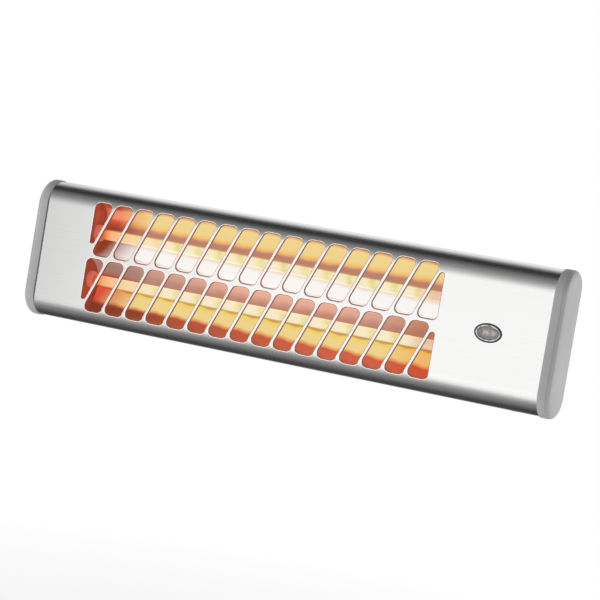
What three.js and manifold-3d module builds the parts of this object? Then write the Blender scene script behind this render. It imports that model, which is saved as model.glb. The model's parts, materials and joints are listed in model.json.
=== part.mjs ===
// Wall-mounted electric bar heater: two quartz tubes with glowing wire coils lie in curved
// reflectors behind a slotted brushed-steel front, and the case tilts on a wall bracket.
//
// Millimetres. +X runs along the heater to the right, +Y into the wall and +Z up. The origin is
// the middle of the bracket's back face. The heater's own pieces are drawn about the middle of
// the front face, where depth (Y) counts from the face backwards, and one group places them.

import * as THREE from 'three';
import { mergeVertices } from 'three/addons/utils/BufferGeometryUtils.js';
import Module from 'manifold-3d';

const wasm = await Module();
wasm.setup();

// ---------------------------------------------------------------- driving dimensions

const clearance = 0.3; // between pieces that touch or seat
const runningGap = 0.4; // between pieces that slide or turn on each other
const overcut = 1; // how far a cutter runs past a face

// Case
const overallLength = 520; // over the end caps
const caseHeight = 125; // of the sheet-metal case
const caseDepth = 34.5; // front face to the back of the returns
const frontCorner = 20; // outer radius, top and bottom of the face
const rearCorner = 13; // or as much as the depth leaves
const sheet = 1; // thickness of the case's steel
const returnWidth = 12; // flat strips that turn inwards along the back

// Slots in the face: two rows of slanted slots with ribs between them
const leftMargin = 49.8; // from the left cap's lip to the slots
const rightMargin = 95; // least room for the lamp between the slots and the right cap's lip
const slotPitch = 21.6;
const ribWidth = 2.6; // measured along the heater
const rowHeight = 48.7;
const barHeight = 2.6; // bar between the rows
const slotCorner = 3.8;
const tipWidth = 4.3; // where a cut-off end slot stops narrowing

// End caps
const capLip = 11.3; // how far a cap reaches over the face
const capProud = 1.5; // cap's surface above the sheet
const capEndWall = 2.2;
const capDome = 2.4; // rounding of the outer edge
const sheetInCap = 7.8; // how far the sheet runs into the cap

// Quartz tubes, coils and their end fittings
const tubeSpacing = 43;
const tubeDepth = 18; // behind the face
const tubeDiameter = 10;
const tubeWall = 1.1;
const tubeOverhang = 7.9; // of a tube beyond the slots, at each end
const coilDiameter = 5.6; // to the middle of the wire
const coilWire = 1.2;
const coilCurls = 20; // stands for the fine winding
const coilTail = 12; // straight part at each end
const ceramicDiameter = 15;
const ceramicSocket = 10; // depth over the tube's end
const ceramicEndWall = 4;
const ceramicChamfer = 1;
const studDiameter = 4;
const studReach = 7; // beyond the ceramic
const terminalDisc = 1.2; // thickness of the contact that the coil's end meets
const nutAcross = 7;
const nutThickness = 3;

// Reflectors and the plates that hold the tubes
const reflectorHalf = 24.9; // half the height of a trough's mouth
const reflectorGap = 2.8; // room behind a trough
const reflectorLipDepth = 6.2; // edges behind the face
const reflectorSheet = 0.6;
const reflectorMiddle = 26.7; // height of a trough's middle above or below the face's middle
const plateInset = 4.5; // tube plate inside the tube's end
const plateSheet = 1;
const plateFlange = 12;
const plateFlangeHeight = 68;
const plateScrewSpacing = 48;

// Rear panel
const panelSheet = 1;
const panelOverlap = 10; // on each return
const rearScrewInset = 98.7; // from the caps' lips
const ventLength = 24;
const ventWidth = 3.2;
const ventCount = 6;
const ventPitch = 46;
const ventHeight = 28; // of a row of vents from the middle

// Indicator lamp
const lampFromRight = 63.5; // from the right end of the heater
const lampDrop = 0.7; // below the face's middle
const lampWidth = 24.8;
const lampHeight = 16.4;
const bezelRim = 1.6; // rim beyond the barrel
const bezelProud = 1;
const bezelDepth = 12; // of the barrel behind the face
const bezelWall = 0.9;
const lensDome = 1;
const lensThickness = 2; // without the dome
const neonDiameter = 5;
const neonLength = 12;
const clipThickness = 1.2;
const clipRim = 2.4;

// Pull switch in the lower right of the case
const switchFromRight = 35;
const switchWidth = 26;
const switchDepth = 20;
const switchFloor = 6; // bottom of its body above the case's underside
const switchWallTop = 3;
const switchLip = 2.5; // lip under the spring
const leverDepth = 20.5; // behind the face
const leverDiameter = 4;
const leverTravel = 8;
const leverCollar = 7.4; // diameter
const leverCollarHeight = 4;
const leverEye = 1.6; // hole for the pull cord
const springWire = 1;
const springClosed = 8.1; // length when the lever is pulled right out
const springCurls = 6;
const guideBarrel = 7.6;
const guideFlange = 11;
const guideThickness = 1;
const guideRise = 0.8; // its flange above the sheet, which curves up on both sides
const bossInset = 0.5; // switch's boss inside the guide's flange
const hangerSheet = 1;
const hangerWidth = 20;
const hangerHeight = 17;

// Mains inlet, terminals and leads
const blockFromRight = 45;
const blockHeight = 16; // of its middle above the face's middle
const blockSize = new THREE.Vector3(30, 14, 16);
const blockPole = 10; // pitch of its screws
const glandFromRight = 75;
const glandDrop = 10;
const glandBore = 7;
const glandDiameter = 12;
const glandFlange = 17;
const glandReach = 11; // outside the rear panel
const glandInside = 5; // threaded part inside the rear panel
const glandFlangeThickness = 3;
const glandChamfer = 1;
const glandNutThickness = 3;
const earthFromRight = 40;
const earthRise = 6.7; // above the switch's hanger
const leadDiameter = 2.2;
const leadStub = 4; // straight part out of a terminal
const shortStub = 3;
const linkReach = 10; // of the link beyond the left terminals
const blockEntry = 4; // leads enter the block this far in front of the panel
const upperLeadRise = 4;
const lowerLeadSag = 6;
const switchLeadBulge = 5;
const lampLeadArch = 4;

// Screws
const screwShank = 3.2;
const screwHead = 6.4;
const screwHeadHeight = 1.8;
const screwLength = 6;

// Wall bracket and tilting pivots
const standoff = 70; // face to wall
const pivotDepth = 52; // behind the face
const pivotDrop = 18.5; // below the rear panel's top edge
const bracketSheet = 2;
const bracketHeight = 36;
const bracketBend = 3; // outer radius
const earTip = 12; // radius about the pivot
const earTaper = 6; // straight part next to the wall
const lugSheet = 1.5;
const lugTip = 10;
const lugFoot = 22;
const lugTaper = 1; // straight part next to the panel
const lugInset = 2.2; // arm inside the cap's lip, so that the ear clears the cap
const pivotShank = 5;
const pivotHead = 10;
const pivotHeadHeight = 3;
const pivotWasher = 1;
const pivotWasherRim = 1; // beyond the screw's head
const pivotNutAcross = 9;
const pivotNutThickness = 4;
const pivotTail = 2; // of the screw beyond its nut
const keyholeSpacing = 380;
const keyholeHead = 9;
const keyholeNeck = 4.5;
const keyholeRise = 9;

// ---------------------------------------------------------------- worked-out places

const halfLength = overallLength / 2;
const halfHeight = caseHeight / 2;
const lipEdge = halfLength - capLip; // where a cap's lip ends on the face
const sheetEnd = lipEdge + sheetInCap;
const rowRise = rowHeight + barHeight;
const slant = slotPitch / rowRise; // a rib moves one pitch along in one row
const slotsLeft = -lipEdge + leftMargin;
const slotsRoom = 2 * lipEdge - leftMargin - rightMargin - ribWidth;
const pitchCount = Math.floor(slotsRoom / slotPitch);
const slotsRight = slotsLeft + pitchCount * slotPitch + ribWidth;
const elementMiddle = (slotsLeft + slotsRight) / 2;
const tubeHalf = (slotsRight - slotsLeft) / 2 + tubeOverhang;
const plateOffset = tubeHalf - plateInset;
const ceramicSeat = tubeHalf + clearance; // floor of the ceramic's socket
const ceramicEnd = ceramicSeat + ceramicEndWall;
const discFace = ceramicSeat - clearance - terminalDisc; // contact that a coil's end meets
const coilLength = 2 * (discFace - 2 * clearance);
const panelFace = caseDepth + clearance; // inner face of the rear panel
const panelBack = panelFace + panelSheet;
const rearFillet = Math.min(rearCorner, caseDepth - frontCorner - sheet);
const returnEdge = halfHeight - rearFillet - returnWidth;
const panelHalfHeight = returnEdge + panelOverlap;
const rearScrewHeight = returnEdge + panelOverlap / 2;
const pivotHeight = panelHalfHeight - pivotDrop;
const lampX = halfLength - lampFromRight;
const switchX = halfLength - switchFromRight;
const switchBottom = -halfHeight + switchFloor;
const boreBottom = switchBottom + switchLip;
const boreTop = boreBottom + springClosed + leverTravel + leverCollarHeight + 3 * clearance;
const switchTop = boreTop + switchWallTop;
const hangerShelf = switchTop + clearance;
const guideTop = -halfHeight + sheet + guideRise + guideThickness;
const collarTop = boreTop - clearance;
const collarBottom = collarTop - leverCollarHeight;
const springRadius = leverCollar / 2 - springWire / 2;
const springLength = collarBottom - boreBottom - 2 * clearance;
const blockX = halfLength - blockFromRight;
const glandX = halfLength - glandFromRight;
const earthX = halfLength - earthFromRight;
const earthHeight = hangerShelf + hangerHeight + earthRise;
const bezelFront = -clearance - bezelProud;
const neonDepth = bezelFront + lensThickness + lensDome + clearance + neonDiameter / 2;
const lugOuter = lipEdge - lugInset;
const earInner = lugOuter + clearance;
const earOuter = earInner + bracketSheet;
const holeRadius = (shank) => shank / 2 + clearance;

// ---------------------------------------------------------------- geometry helpers

const bases = {
  // directions that the shape's x, y and its extrusion take
  x: [new THREE.Vector3(0, 1, 0), new THREE.Vector3(0, 0, 1), new THREE.Vector3(1, 0, 0)],
  y: [new THREE.Vector3(1, 0, 0), new THREE.Vector3(0, 0, 1), new THREE.Vector3(0, -1, 0)],
  z: [new THREE.Vector3(1, 0, 0), new THREE.Vector3(0, 1, 0), new THREE.Vector3(0, 0, 1)],
};

const turnedBases = {
  // directions that a lathe's radius, axis and third axis take
  x: [new THREE.Vector3(0, 1, 0), new THREE.Vector3(1, 0, 0), new THREE.Vector3(0, 0, -1)],
  y: [new THREE.Vector3(1, 0, 0), new THREE.Vector3(0, 1, 0), new THREE.Vector3(0, 0, 1)],
  z: [new THREE.Vector3(1, 0, 0), new THREE.Vector3(0, 0, 1), new THREE.Vector3(0, -1, 0)],
};

const at = (x, y, z) => new THREE.Vector3(x, y, z);
const point = (x, y) => new THREE.Vector2(x, y);

// A geometry as one closed set of shared vertices, with its faces pointing out.
function closed(geometry) {
  const bare = geometry.clone();
  bare.deleteAttribute('normal');
  bare.deleteAttribute('uv');
  const merged = mergeVertices(bare, 1e-4);
  const position = merged.getAttribute('position');
  const faces = [];
  let volume = 0;
  const [a, b, c] = [at(0, 0, 0), at(0, 0, 0), at(0, 0, 0)];
  for (let i = 0; i < merged.index.count; i += 3) {
    const face = [0, 1, 2].map((corner) => merged.index.getX(i + corner));
    if (new Set(face).size < 3) continue;
    faces.push(face);
    a.fromBufferAttribute(position, face[0]);
    b.fromBufferAttribute(position, face[1]);
    c.fromBufferAttribute(position, face[2]);
    volume += a.dot(b.cross(c));
  }
  const outward = volume > 0 ? faces : faces.map(([p, q, r]) => [p, r, q]);
  const result = new THREE.BufferGeometry();
  result.setAttribute('position', position);
  result.setIndex(outward.flat());
  return result;
}

function solid(geometry) {
  const mesh = closed(geometry);
  return new wasm.Manifold(new wasm.Mesh({
    numProp: 3,
    vertProperties: new Float32Array(mesh.getAttribute('position').array),
    triVerts: new Uint32Array(mesh.index.array),
  }));
}

function geometryOf(manifold) {
  const mesh = manifold.getMesh();
  const geometry = new THREE.BufferGeometry();
  const position = new THREE.BufferAttribute(new Float32Array(mesh.vertProperties), 3);
  geometry.setAttribute('position', position);
  geometry.setIndex(Array.from(mesh.triVerts));
  return geometry;
}

// A flat shape pushed along an axis from one place to another.
function extruded(shape, axis, from, to, options = {}) {
  const settings = { bevelEnabled: false, curveSegments: 6, ...options };
  const geometry = new THREE.ExtrudeGeometry(shape, { depth: to - from, ...settings });
  const start = axis === 'y' ? to : from; // along y the shape is pushed towards the face
  const move = { x: at(start, 0, 0), y: at(0, start, 0), z: at(0, 0, start) }[axis];
  const matrix = new THREE.Matrix4().makeBasis(...bases[axis]).setPosition(move);
  return geometry.applyMatrix4(matrix);
}

// A profile of [radius, place along the axis] turned about an axis through a point.
function turned(profile, axis, centre, sides = 12) {
  const points = profile.map(([radius, along]) => point(radius, along));
  const geometry = new THREE.LatheGeometry(points, sides);
  const matrix = new THREE.Matrix4().makeBasis(...turnedBases[axis]).setPosition(centre);
  return geometry.applyMatrix4(matrix);
}

const ring = (inner, outer, from, to) => [
  [inner, from],
  [outer, from],
  [outer, to],
  [inner, to],
  [inner, from],
];

const rod = (radius, from, to) => [
  [0, from],
  [radius, from],
  [radius, to],
  [0, to],
];

function box(low, high) {
  const size = high.clone().sub(low);
  const middle = low.clone().add(high).multiplyScalar(0.5);
  return new THREE.BoxGeometry(size.x, size.y, size.z).translate(middle.x, middle.y, middle.z);
}

// A drill for a round hole; the flats of its sides, not its corners, lie at the radius.
const hole = (radius, axis, centre, from, to, sides = 8) =>
  solid(turned(rod(radius / Math.cos(Math.PI / sides), from, to), axis, centre, sides));

// ---------------------------------------------------------------- outlines

// The case's section in depth and height, drawn this far outside the sheet's surface.
function caseOutline(outset) {
  const front = -outset;
  const back = caseDepth + outset;
  const top = halfHeight + outset;
  const near = frontCorner + outset;
  const far = rearFillet + outset;
  const quarter = Math.PI / 2;
  const outline = new THREE.Shape();
  outline.moveTo(front, near - top);
  outline.lineTo(front, top - near);
  outline.absarc(front + near, top - near, near, 2 * quarter, quarter, true);
  outline.lineTo(back - far, top);
  outline.absarc(back - far, top - far, far, quarter, 0, true);
  outline.lineTo(back, far - top);
  outline.absarc(back - far, far - top, far, 0, -quarter, true);
  outline.lineTo(front + near, -top);
  outline.absarc(front + near, near - top, near, -quarter, -2 * quarter, true);
  return outline;
}

// A polygon whose corners are rounded as far as its sides allow.
function roundedPolygon(corners, radius) {
  const count = corners.length;
  const sideLength = (i) => corners[i].distanceTo(corners[(i + 1) % count]);
  const reach = corners.map((corner, i) => {
    const toLast = corners[(i + count - 1) % count].clone().sub(corner).normalize();
    const toNext = corners[(i + 1) % count].clone().sub(corner).normalize();
    return 1 / Math.tan(Math.acos(toLast.dot(toNext)) / 2);
  });
  const outline = new THREE.Shape();
  corners.forEach((corner, i) => {
    const last = (i + count - 1) % count;
    const next = (i + 1) % count;
    const beforeFits = (0.95 * sideLength(last)) / (reach[last] + reach[i]);
    const afterFits = (0.95 * sideLength(i)) / (reach[i] + reach[next]);
    const setback = Math.min(radius, beforeFits, afterFits) * reach[i];
    const start = corner.clone().lerp(corners[last], setback / sideLength(last));
    const end = corner.clone().lerp(corners[next], setback / sideLength(i));
    if (i === 0) outline.moveTo(start.x, start.y);
    else outline.lineTo(start.x, start.y);
    outline.quadraticCurveTo(corner.x, corner.y, end.x, end.y);
  });
  outline.closePath();
  return outline;
}

// One slot of a row. Ribs lean to the right as they rise and run on through both rows; the
// first and last slots are cut off upright and stop where they would get too narrow.
function slotOutline(index, bottom, top, firstRib) {
  const ribAt = (rib, z) => slotsLeft + ribWidth / 4 + (firstRib + rib) * slotPitch + slant * z;
  const isFirst = index === 0;
  const isLast = index === pitchCount;
  const leftAt = (z) => (isFirst ? slotsLeft : ribAt(index - 1, z) + ribWidth / 2);
  const rightAt = (z) => (isLast ? slotsRight : ribAt(index, z) - ribWidth / 2);
  const widthAt = (z) => rightAt(z) - leftAt(z);
  const narrowing = (tipWidth - widthAt(isLast ? top : bottom)) / slant;
  const low = isFirst ? bottom + Math.max(0, narrowing) : bottom;
  const high = isLast ? top - Math.max(0, narrowing) : top;
  const corners = [
    point(leftAt(low), low),
    point(rightAt(low), low),
    point(rightAt(high), high),
    point(leftAt(high), high),
  ];
  return roundedPolygon(corners, slotCorner);
}

function ellipse(width, height) {
  const outline = new THREE.Shape();
  outline.absellipse(0, 0, width / 2, height / 2, 0, 2 * Math.PI, true);
  return outline;
}

// An oval ring of this outer size, pushed backwards from one depth to another.
function ovalRing(width, height, rim, from, to) {
  const settings = { curveSegments: 12 };
  const outer = solid(extruded(ellipse(width, height), 'y', from, to, settings));
  const inside = ellipse(width - 2 * rim, height - 2 * rim);
  return outer.subtract(solid(extruded(inside, 'y', from - overcut, to + overcut, settings)));
}

function obround(width, height) {
  const radius = height / 2;
  const straight = width / 2 - radius;
  const outline = new THREE.Shape();
  outline.moveTo(-straight, -radius);
  outline.lineTo(straight, -radius);
  outline.absarc(straight, 0, radius, -Math.PI / 2, Math.PI / 2, false);
  outline.lineTo(-straight, radius);
  outline.absarc(-straight, 0, radius, Math.PI / 2, (3 * Math.PI) / 2, false);
  return outline;
}

// ---------------------------------------------------------------- windings

// Points along a helix about the Z axis, with straight ends that run on at the same radius.
function windingPoints(radius, length, curls, tail) {
  const steps = curls * 8;
  const wound = length - 2 * tail;
  const points = [{ angle: 0, along: 0 }];
  for (let step = 0; step <= steps; step += 1) {
    points.push({ angle: (step / 8) * 2 * Math.PI, along: tail + (wound * step) / steps });
  }
  points.push({ angle: curls * 2 * Math.PI, along: length });
  return points.map(({ angle, along }) => at(radius * Math.cos(angle), radius * Math.sin(angle), along));
}

// A five-sided wire laid along those points as one unbroken tube.
function windingGeometry(radius, wire, length, curls, tail) {
  const points = windingPoints(radius, length, curls, tail);
  const sides = 5;
  const vertices = [];
  points.forEach((centre, i) => {
    const isEnd = i === 0 || i === points.length - 1;
    const before = points[Math.max(i - 1, 0)];
    const after = points[Math.min(i + 1, points.length - 1)];
    const tangent = isEnd ? at(0, 0, 1) : after.clone().sub(before).normalize();
    const outwards = at(centre.x, centre.y, 0).normalize();
    const across = tangent.clone().cross(outwards).normalize();
    for (let side = 0; side < sides; side += 1) {
      const turn = (side / sides) * 2 * Math.PI;
      const offset = outwards.clone().multiplyScalar((Math.cos(turn) * wire) / 2);
      offset.addScaledVector(across, (Math.sin(turn) * wire) / 2);
      vertices.push(centre.x + offset.x, centre.y + offset.y, centre.z + offset.z);
    }
  });
  const faces = [];
  for (let i = 0; i < points.length - 1; i += 1) {
    for (let side = 0; side < sides; side += 1) {
      const next = (side + 1) % sides;
      const [near, nearNext] = [i * sides + side, i * sides + next];
      const [far, farNext] = [near + sides, nearNext + sides];
      faces.push(near, nearNext, farNext, near, farNext, far);
    }
  }
  const last = (points.length - 1) * sides;
  for (let side = 1; side < sides - 1; side += 1) {
    faces.push(0, side + 1, side, last, last + side, last + side + 1);
  }
  const geometry = new THREE.BufferGeometry();
  geometry.setAttribute('position', new THREE.Float32BufferAttribute(vertices, 3));
  geometry.setIndex(faces);
  return geometry;
}

// Least distance between the wire's surfaces a curl or more apart, measured on its points.
function leastGap(points, wire) {
  let least = Infinity;
  for (let i = 0; i < points.length; i += 1) {
    for (let j = i + 6; j < points.length; j += 1) {
      least = Math.min(least, points[i].distanceTo(points[j]) - wire);
    }
  }
  return least;
}

// ---------------------------------------------------------------- materials

const finish = (color, roughness, metalness, extra = {}) =>
  new THREE.MeshStandardMaterial({ color, roughness, metalness, ...extra });

const brushedSteel = finish(0xd9d9d7, 0.32, 1);
const zincSteel = finish(0xa9adb0, 0.45, 1);
const greyPlastic = finish(0xa9aaab, 0.5, 0);
const darkPlastic = finish(0x3a3b3d, 0.45, 0);
const polishedAluminium = finish(0xe6e3de, 0.15, 1);
const quartz = finish(0xfff0c4, 0.05, 0, { transparent: true, opacity: 0.5 });
const hotWire = finish(0xff8a3c, 0.6, 0.6, { emissive: 0xff5a14 });
const steatite = finish(0xe9e2d2, 0.6, 0);
const brass = finish(0xc9a75a, 0.35, 1);
const lensPlastic = finish(0xb9b4b3, 0.15, 0, { transparent: true, opacity: 0.6 });
const neonGlass = finish(0xff9c7a, 0.1, 0, { emissive: 0xd8492b });
const leadSleeve = finish(0xc8c2b2, 0.7, 0);
const blackSteel = finish(0x6d7073, 0.5, 1);

// ---------------------------------------------------------------- the case

function frontHousing() {
  let shell = solid(extruded(caseOutline(0), 'x', -sheetEnd, sheetEnd));
  shell = shell.subtract(solid(extruded(caseOutline(-sheet), 'x', -halfLength, halfLength)));
  const backGap = box(
    at(-halfLength, caseDepth - 2 * sheet, -returnEdge),
    at(halfLength, caseDepth + sheet, returnEdge),
  );
  shell = shell.subtract(solid(backGap));
  const cutDepth = frontCorner;
  for (let index = 0; index <= pitchCount; index += 1) {
    const upper = slotOutline(index, barHeight / 2, barHeight / 2 + rowHeight, 0);
    const lower = slotOutline(index, -barHeight / 2 - rowHeight, -barHeight / 2, 1);
    for (const outline of [upper, lower]) {
      const cutter = extruded(outline, 'y', -sheet, cutDepth, { curveSegments: 3 });
      shell = shell.subtract(solid(cutter));
    }
  }
  const barrel = lampBarrelSize();
  const lampHole = ellipse(barrel.width + 2 * clearance, barrel.height + 2 * clearance);
  const lampCut = extruded(lampHole, 'y', -sheet, 2 * sheet, { curveSegments: 12 });
  lampCut.translate(lampX, 0, -lampDrop);
  shell = shell.subtract(solid(lampCut));
  const guideAt = at(switchX, leverDepth, -halfHeight);
  shell = shell.subtract(hole(holeRadius(guideBarrel), 'z', guideAt, -sheet, 2 * sheet, 12));
  for (const { x, z } of [...rearScrewPlaces(), ...capScrewPlaces()]) {
    const place = at(x, caseDepth, z);
    shell = shell.subtract(hole(holeRadius(screwShank), 'y', place, -2 * sheet, sheet));
  }
  return geometryOf(shell);
}

function rearPanel() {
  const halfWidth = lipEdge - clearance;
  const low = at(-halfWidth, panelFace, -panelHalfHeight);
  const high = at(halfWidth, panelBack, panelHalfHeight);
  let panel = solid(box(low, high));
  for (let i = 0; i < ventCount; i += 1) {
    for (const row of [-1, 1]) {
      const x = elementMiddle + (i - (ventCount - 1) / 2) * ventPitch;
      const vent = extruded(obround(ventLength, ventWidth), 'y', caseDepth, panelBack + sheet, {
        curveSegments: 2,
      });
      vent.translate(x, 0, row * ventHeight);
      panel = panel.subtract(solid(vent));
    }
  }
  for (const { x, z } of [...rearScrewPlaces(), ...plateScrewPlaces()]) {
    panel = panel.subtract(hole(holeRadius(screwShank), 'y', at(x, panelFace, z), -sheet, 3 * sheet));
  }
  const glandAt = at(glandX, panelFace, -glandDrop);
  panel = panel.subtract(hole(holeRadius(glandDiameter), 'y', glandAt, -sheet, 3 * sheet, 12));
  const earthAt = at(earthX, panelFace, earthHeight);
  panel = panel.subtract(hole(holeRadius(screwShank), 'y', earthAt, -sheet, 3 * sheet));
  return geometryOf(panel);
}

// side is -1 for the left end and 1 for the right end
function endCap(side) {
  const bevel = { bevelEnabled: true, bevelThickness: capDome, bevelSize: capDome, bevelSegments: 3 };
  const inside = lipEdge - 2 * capLip;
  const outer = extruded(caseOutline(capProud), 'x', inside, halfLength - capDome, {
    ...bevel,
    bevelOffset: -capDome,
  });
  let cap = solid(outer);
  const farSide = 2 * (caseHeight + caseDepth);
  cap = cap.subtract(solid(box(at(0, -farSide, -farSide), at(lipEdge, farSide, farSide))));
  const cavity = extruded(caseOutline(clearance), 'x', inside, halfLength - capEndWall);
  cap = cap.subtract(solid(cavity));
  for (const { x, z } of capScrewPlaces()) {
    if (x < 0) continue;
    const place = at(x, caseDepth, z);
    cap = cap.subtract(hole(holeRadius(screwShank), 'y', place, 0, 3 * capProud));
  }
  const geometry = geometryOf(cap);
  return side > 0 ? geometry : geometry.scale(-1, 1, 1);
}

// ---------------------------------------------------------------- screws

function rearScrewPlaces() {
  const half = lipEdge - rearScrewInset;
  return [-half, half].flatMap((x) => [-1, 1].map((row) => ({ x, z: row * rearScrewHeight })));
}

function capScrewPlaces() {
  const x = (lipEdge + sheetEnd) / 2;
  return [-x, x].flatMap((place) => [-1, 1].map((row) => ({ x: place, z: row * rearScrewHeight })));
}

function plateScrewPlaces() {
  const offset = plateOffset + plateFlange / 2 + plateSheet / 2;
  return [-1, 1].flatMap((side) =>
    [-1, 1].map((row) => ({ x: elementMiddle + side * offset, z: (row * plateScrewSpacing) / 2 })),
  );
}

// A pan-head screw driven from behind: its head lies on the surface at this depth.
function panScrew(x, surface, z) {
  const head = screwHead / 2;
  const shank = screwShank / 2;
  const seat = clearance;
  const profile = [
    [0, -screwLength],
    [shank, -screwLength + shank],
    [shank, seat],
    [head, seat],
    [head, seat + screwHeadHeight * 0.5],
    [head * 0.7, seat + screwHeadHeight],
    [0, seat + screwHeadHeight],
  ];
  return turned(profile, 'y', at(x, surface, z), 8);
}

// ---------------------------------------------------------------- the heating elements

function quartzTube(row) {
  const outer = tubeDiameter / 2;
  const centre = at(elementMiddle, tubeDepth, (row * tubeSpacing) / 2);
  return turned(ring(outer - tubeWall, outer, -tubeHalf, tubeHalf), 'x', centre, 16);
}

function heatingCoil(row) {
  const coil = windingGeometry(coilDiameter / 2, coilWire, coilLength, coilCurls, coilTail);
  coil.translate(0, 0, -coilLength / 2);
  coil.applyMatrix4(new THREE.Matrix4().makeBasis(...bases.x));
  return coil.translate(elementMiddle, tubeDepth, (row * tubeSpacing) / 2);
}

function ceramicCap(side, row) {
  const outer = ceramicDiameter / 2;
  const socket = tubeDiameter / 2 + clearance;
  const profile = [
    [studDiameter / 2 + clearance, ceramicSeat],
    [socket, ceramicSeat],
    [socket, ceramicSeat - ceramicSocket],
    [outer - ceramicChamfer, ceramicSeat - ceramicSocket],
    [outer, ceramicSeat - ceramicSocket + ceramicChamfer],
    [outer, ceramicEnd - ceramicChamfer],
    [outer - ceramicChamfer, ceramicEnd],
    [studDiameter / 2 + clearance, ceramicEnd],
    [studDiameter / 2 + clearance, ceramicSeat],
  ].map(([radius, along]) => [radius, side * along]);
  return turned(profile, 'x', at(elementMiddle, tubeDepth, (row * tubeSpacing) / 2), 12);
}

// A stud whose disc meets the coil inside the tube and whose nut clamps a lead outside it.
function terminalStud(side, row) {
  const shank = studDiameter / 2;
  const disc = tubeDiameter / 2 - tubeWall - clearance;
  const nutFace = ceramicEnd + clearance;
  const profile = [
    [0, discFace],
    [disc, discFace],
    [disc, discFace + terminalDisc],
    [shank, discFace + terminalDisc],
    [shank, ceramicEnd + studReach],
    [0, ceramicEnd + studReach],
  ].map(([radius, along]) => [radius, side * along]);
  const centre = at(elementMiddle, tubeDepth, (row * tubeSpacing) / 2);
  const stud = solid(turned(profile, 'x', centre, 10));
  const nutProfile = rod(nutAcross / Math.sqrt(3), nutFace, nutFace + nutThickness)
    .map(([radius, along]) => [radius, side * along]);
  return geometryOf(stud.add(solid(turned(nutProfile, 'x', centre, 6))));
}

// A half-round trough of bright sheet, open to the front.
function reflector(row) {
  const outline = new THREE.Shape();
  const deep = caseDepth - reflectorLipDepth - reflectorGap;
  const high = reflectorHalf + reflectorSheet;
  const quarter = Math.PI / 2;
  outline.moveTo(0, -high);
  outline.absellipse(0, 0, deep, high, -quarter, quarter, false);
  outline.lineTo(0, reflectorHalf);
  outline.absellipse(0, 0, deep - reflectorSheet, reflectorHalf, quarter, -quarter, true);
  const half = plateOffset - plateSheet / 2 - clearance;
  const trough = extruded(outline, 'x', elementMiddle - half, elementMiddle + half, {
    curveSegments: 14,
  });
  return trough.translate(0, reflectorLipDepth, row * reflectorMiddle);
}

// The upright plate at each end of the reflectors that carries both ceramics.
function tubePlate(side) {
  const x = elementMiddle + side * plateOffset;
  const half = plateSheet / 2;
  const inset = sheet + clearance;
  let plate = solid(extruded(caseOutline(-inset), 'x', x - half, x + half, { curveSegments: 4 }));
  const flangeBack = panelFace - clearance;
  const flangeHalf = plateFlangeHeight / 2;
  const outwards = x + side * plateFlange;
  const tongue = box(at(x - half, caseDepth / 2, -flangeHalf), at(x + half, flangeBack, flangeHalf));
  plate = plate.add(solid(tongue));
  const low = at(Math.min(x, outwards), flangeBack - plateSheet, -flangeHalf);
  const high = at(Math.max(x, outwards), flangeBack, flangeHalf);
  plate = plate.add(solid(box(low, high)));
  for (const row of [-1, 1]) {
    const centre = at(x, tubeDepth, (row * tubeSpacing) / 2);
    plate = plate.subtract(hole(holeRadius(ceramicDiameter), 'x', centre, -2 * half, 2 * half, 16));
  }
  for (const place of plateScrewPlaces()) {
    const centre = at(place.x, panelFace, place.z);
    plate = plate.subtract(hole(holeRadius(screwShank), 'y', centre, -4 * sheet, sheet));
  }
  return geometryOf(plate);
}

// ---------------------------------------------------------------- the indicator lamp

function lampBarrelSize() {
  return { width: lampWidth - 2 * bezelRim, height: lampHeight - 2 * bezelRim };
}

function lampBezel() {
  const { width, height } = lampBarrelSize();
  const rim = ovalRing(lampWidth, lampHeight, bezelRim + bezelWall, bezelFront, -clearance);
  const barrel = ovalRing(width, height, bezelWall, bezelFront, bezelDepth);
  return geometryOf(rim.add(barrel)).translate(lampX, 0, -lampDrop);
}

function lampLens() {
  const { width, height } = lampBarrelSize();
  const inset = bezelWall + clearance;
  const size = { width: width - 2 * inset, height: height - 2 * inset };
  const [near, far] = [bezelFront + lensDome, bezelFront + lensThickness];
  const lens = extruded(ellipse(size.width, size.height), 'y', near, far, {
    curveSegments: 10,
    bevelEnabled: true,
    bevelThickness: lensDome,
    bevelSize: 2 * lensDome,
    bevelOffset: -2 * lensDome,
    bevelSegments: 2,
  });
  return lens.translate(lampX, 0, -lampDrop);
}

function neonLamp() {
  const radius = neonDiameter / 2;
  const half = neonLength / 2;
  const profile = [
    [0, -half],
    [radius, -half],
    [radius, half - radius],
    [radius * 0.7, half - radius * 0.3],
    [0, half],
  ];
  return turned(profile, 'x', at(lampX, neonDepth, -lampDrop), 10);
}

function lampClip() {
  const { width, height } = lampBarrelSize();
  const grown = 2 * (clipRim + clearance);
  const near = sheet + clearance;
  const clip = ovalRing(width + grown, height + grown, clipRim, near, near + clipThickness);
  return geometryOf(clip).translate(lampX, 0, -lampDrop);
}

// ---------------------------------------------------------------- the pull switch

function switchBody() {
  const half = at(switchWidth / 2, switchDepth / 2, 0);
  const low = at(switchX - half.x, leverDepth - half.y, switchBottom);
  const high = at(switchX + half.x, leverDepth + half.y, switchTop);
  const axis = at(switchX, leverDepth, 0);
  let body = solid(box(low, high));
  const bossRadius = guideFlange / 2 - bossInset;
  const boss = turned(rod(bossRadius, guideTop + clearance, switchBottom + overcut), 'z', axis);
  body = body.add(solid(boss));
  body = body.subtract(hole(leverCollar / 2 + runningGap, 'z', axis, boreBottom, boreTop, 12));
  const neck = leverDiameter / 2 + runningGap;
  body = body.subtract(hole(neck, 'z', axis, guideTop - overcut, boreBottom + overcut, 12));
  return geometryOf(body);
}

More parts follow.
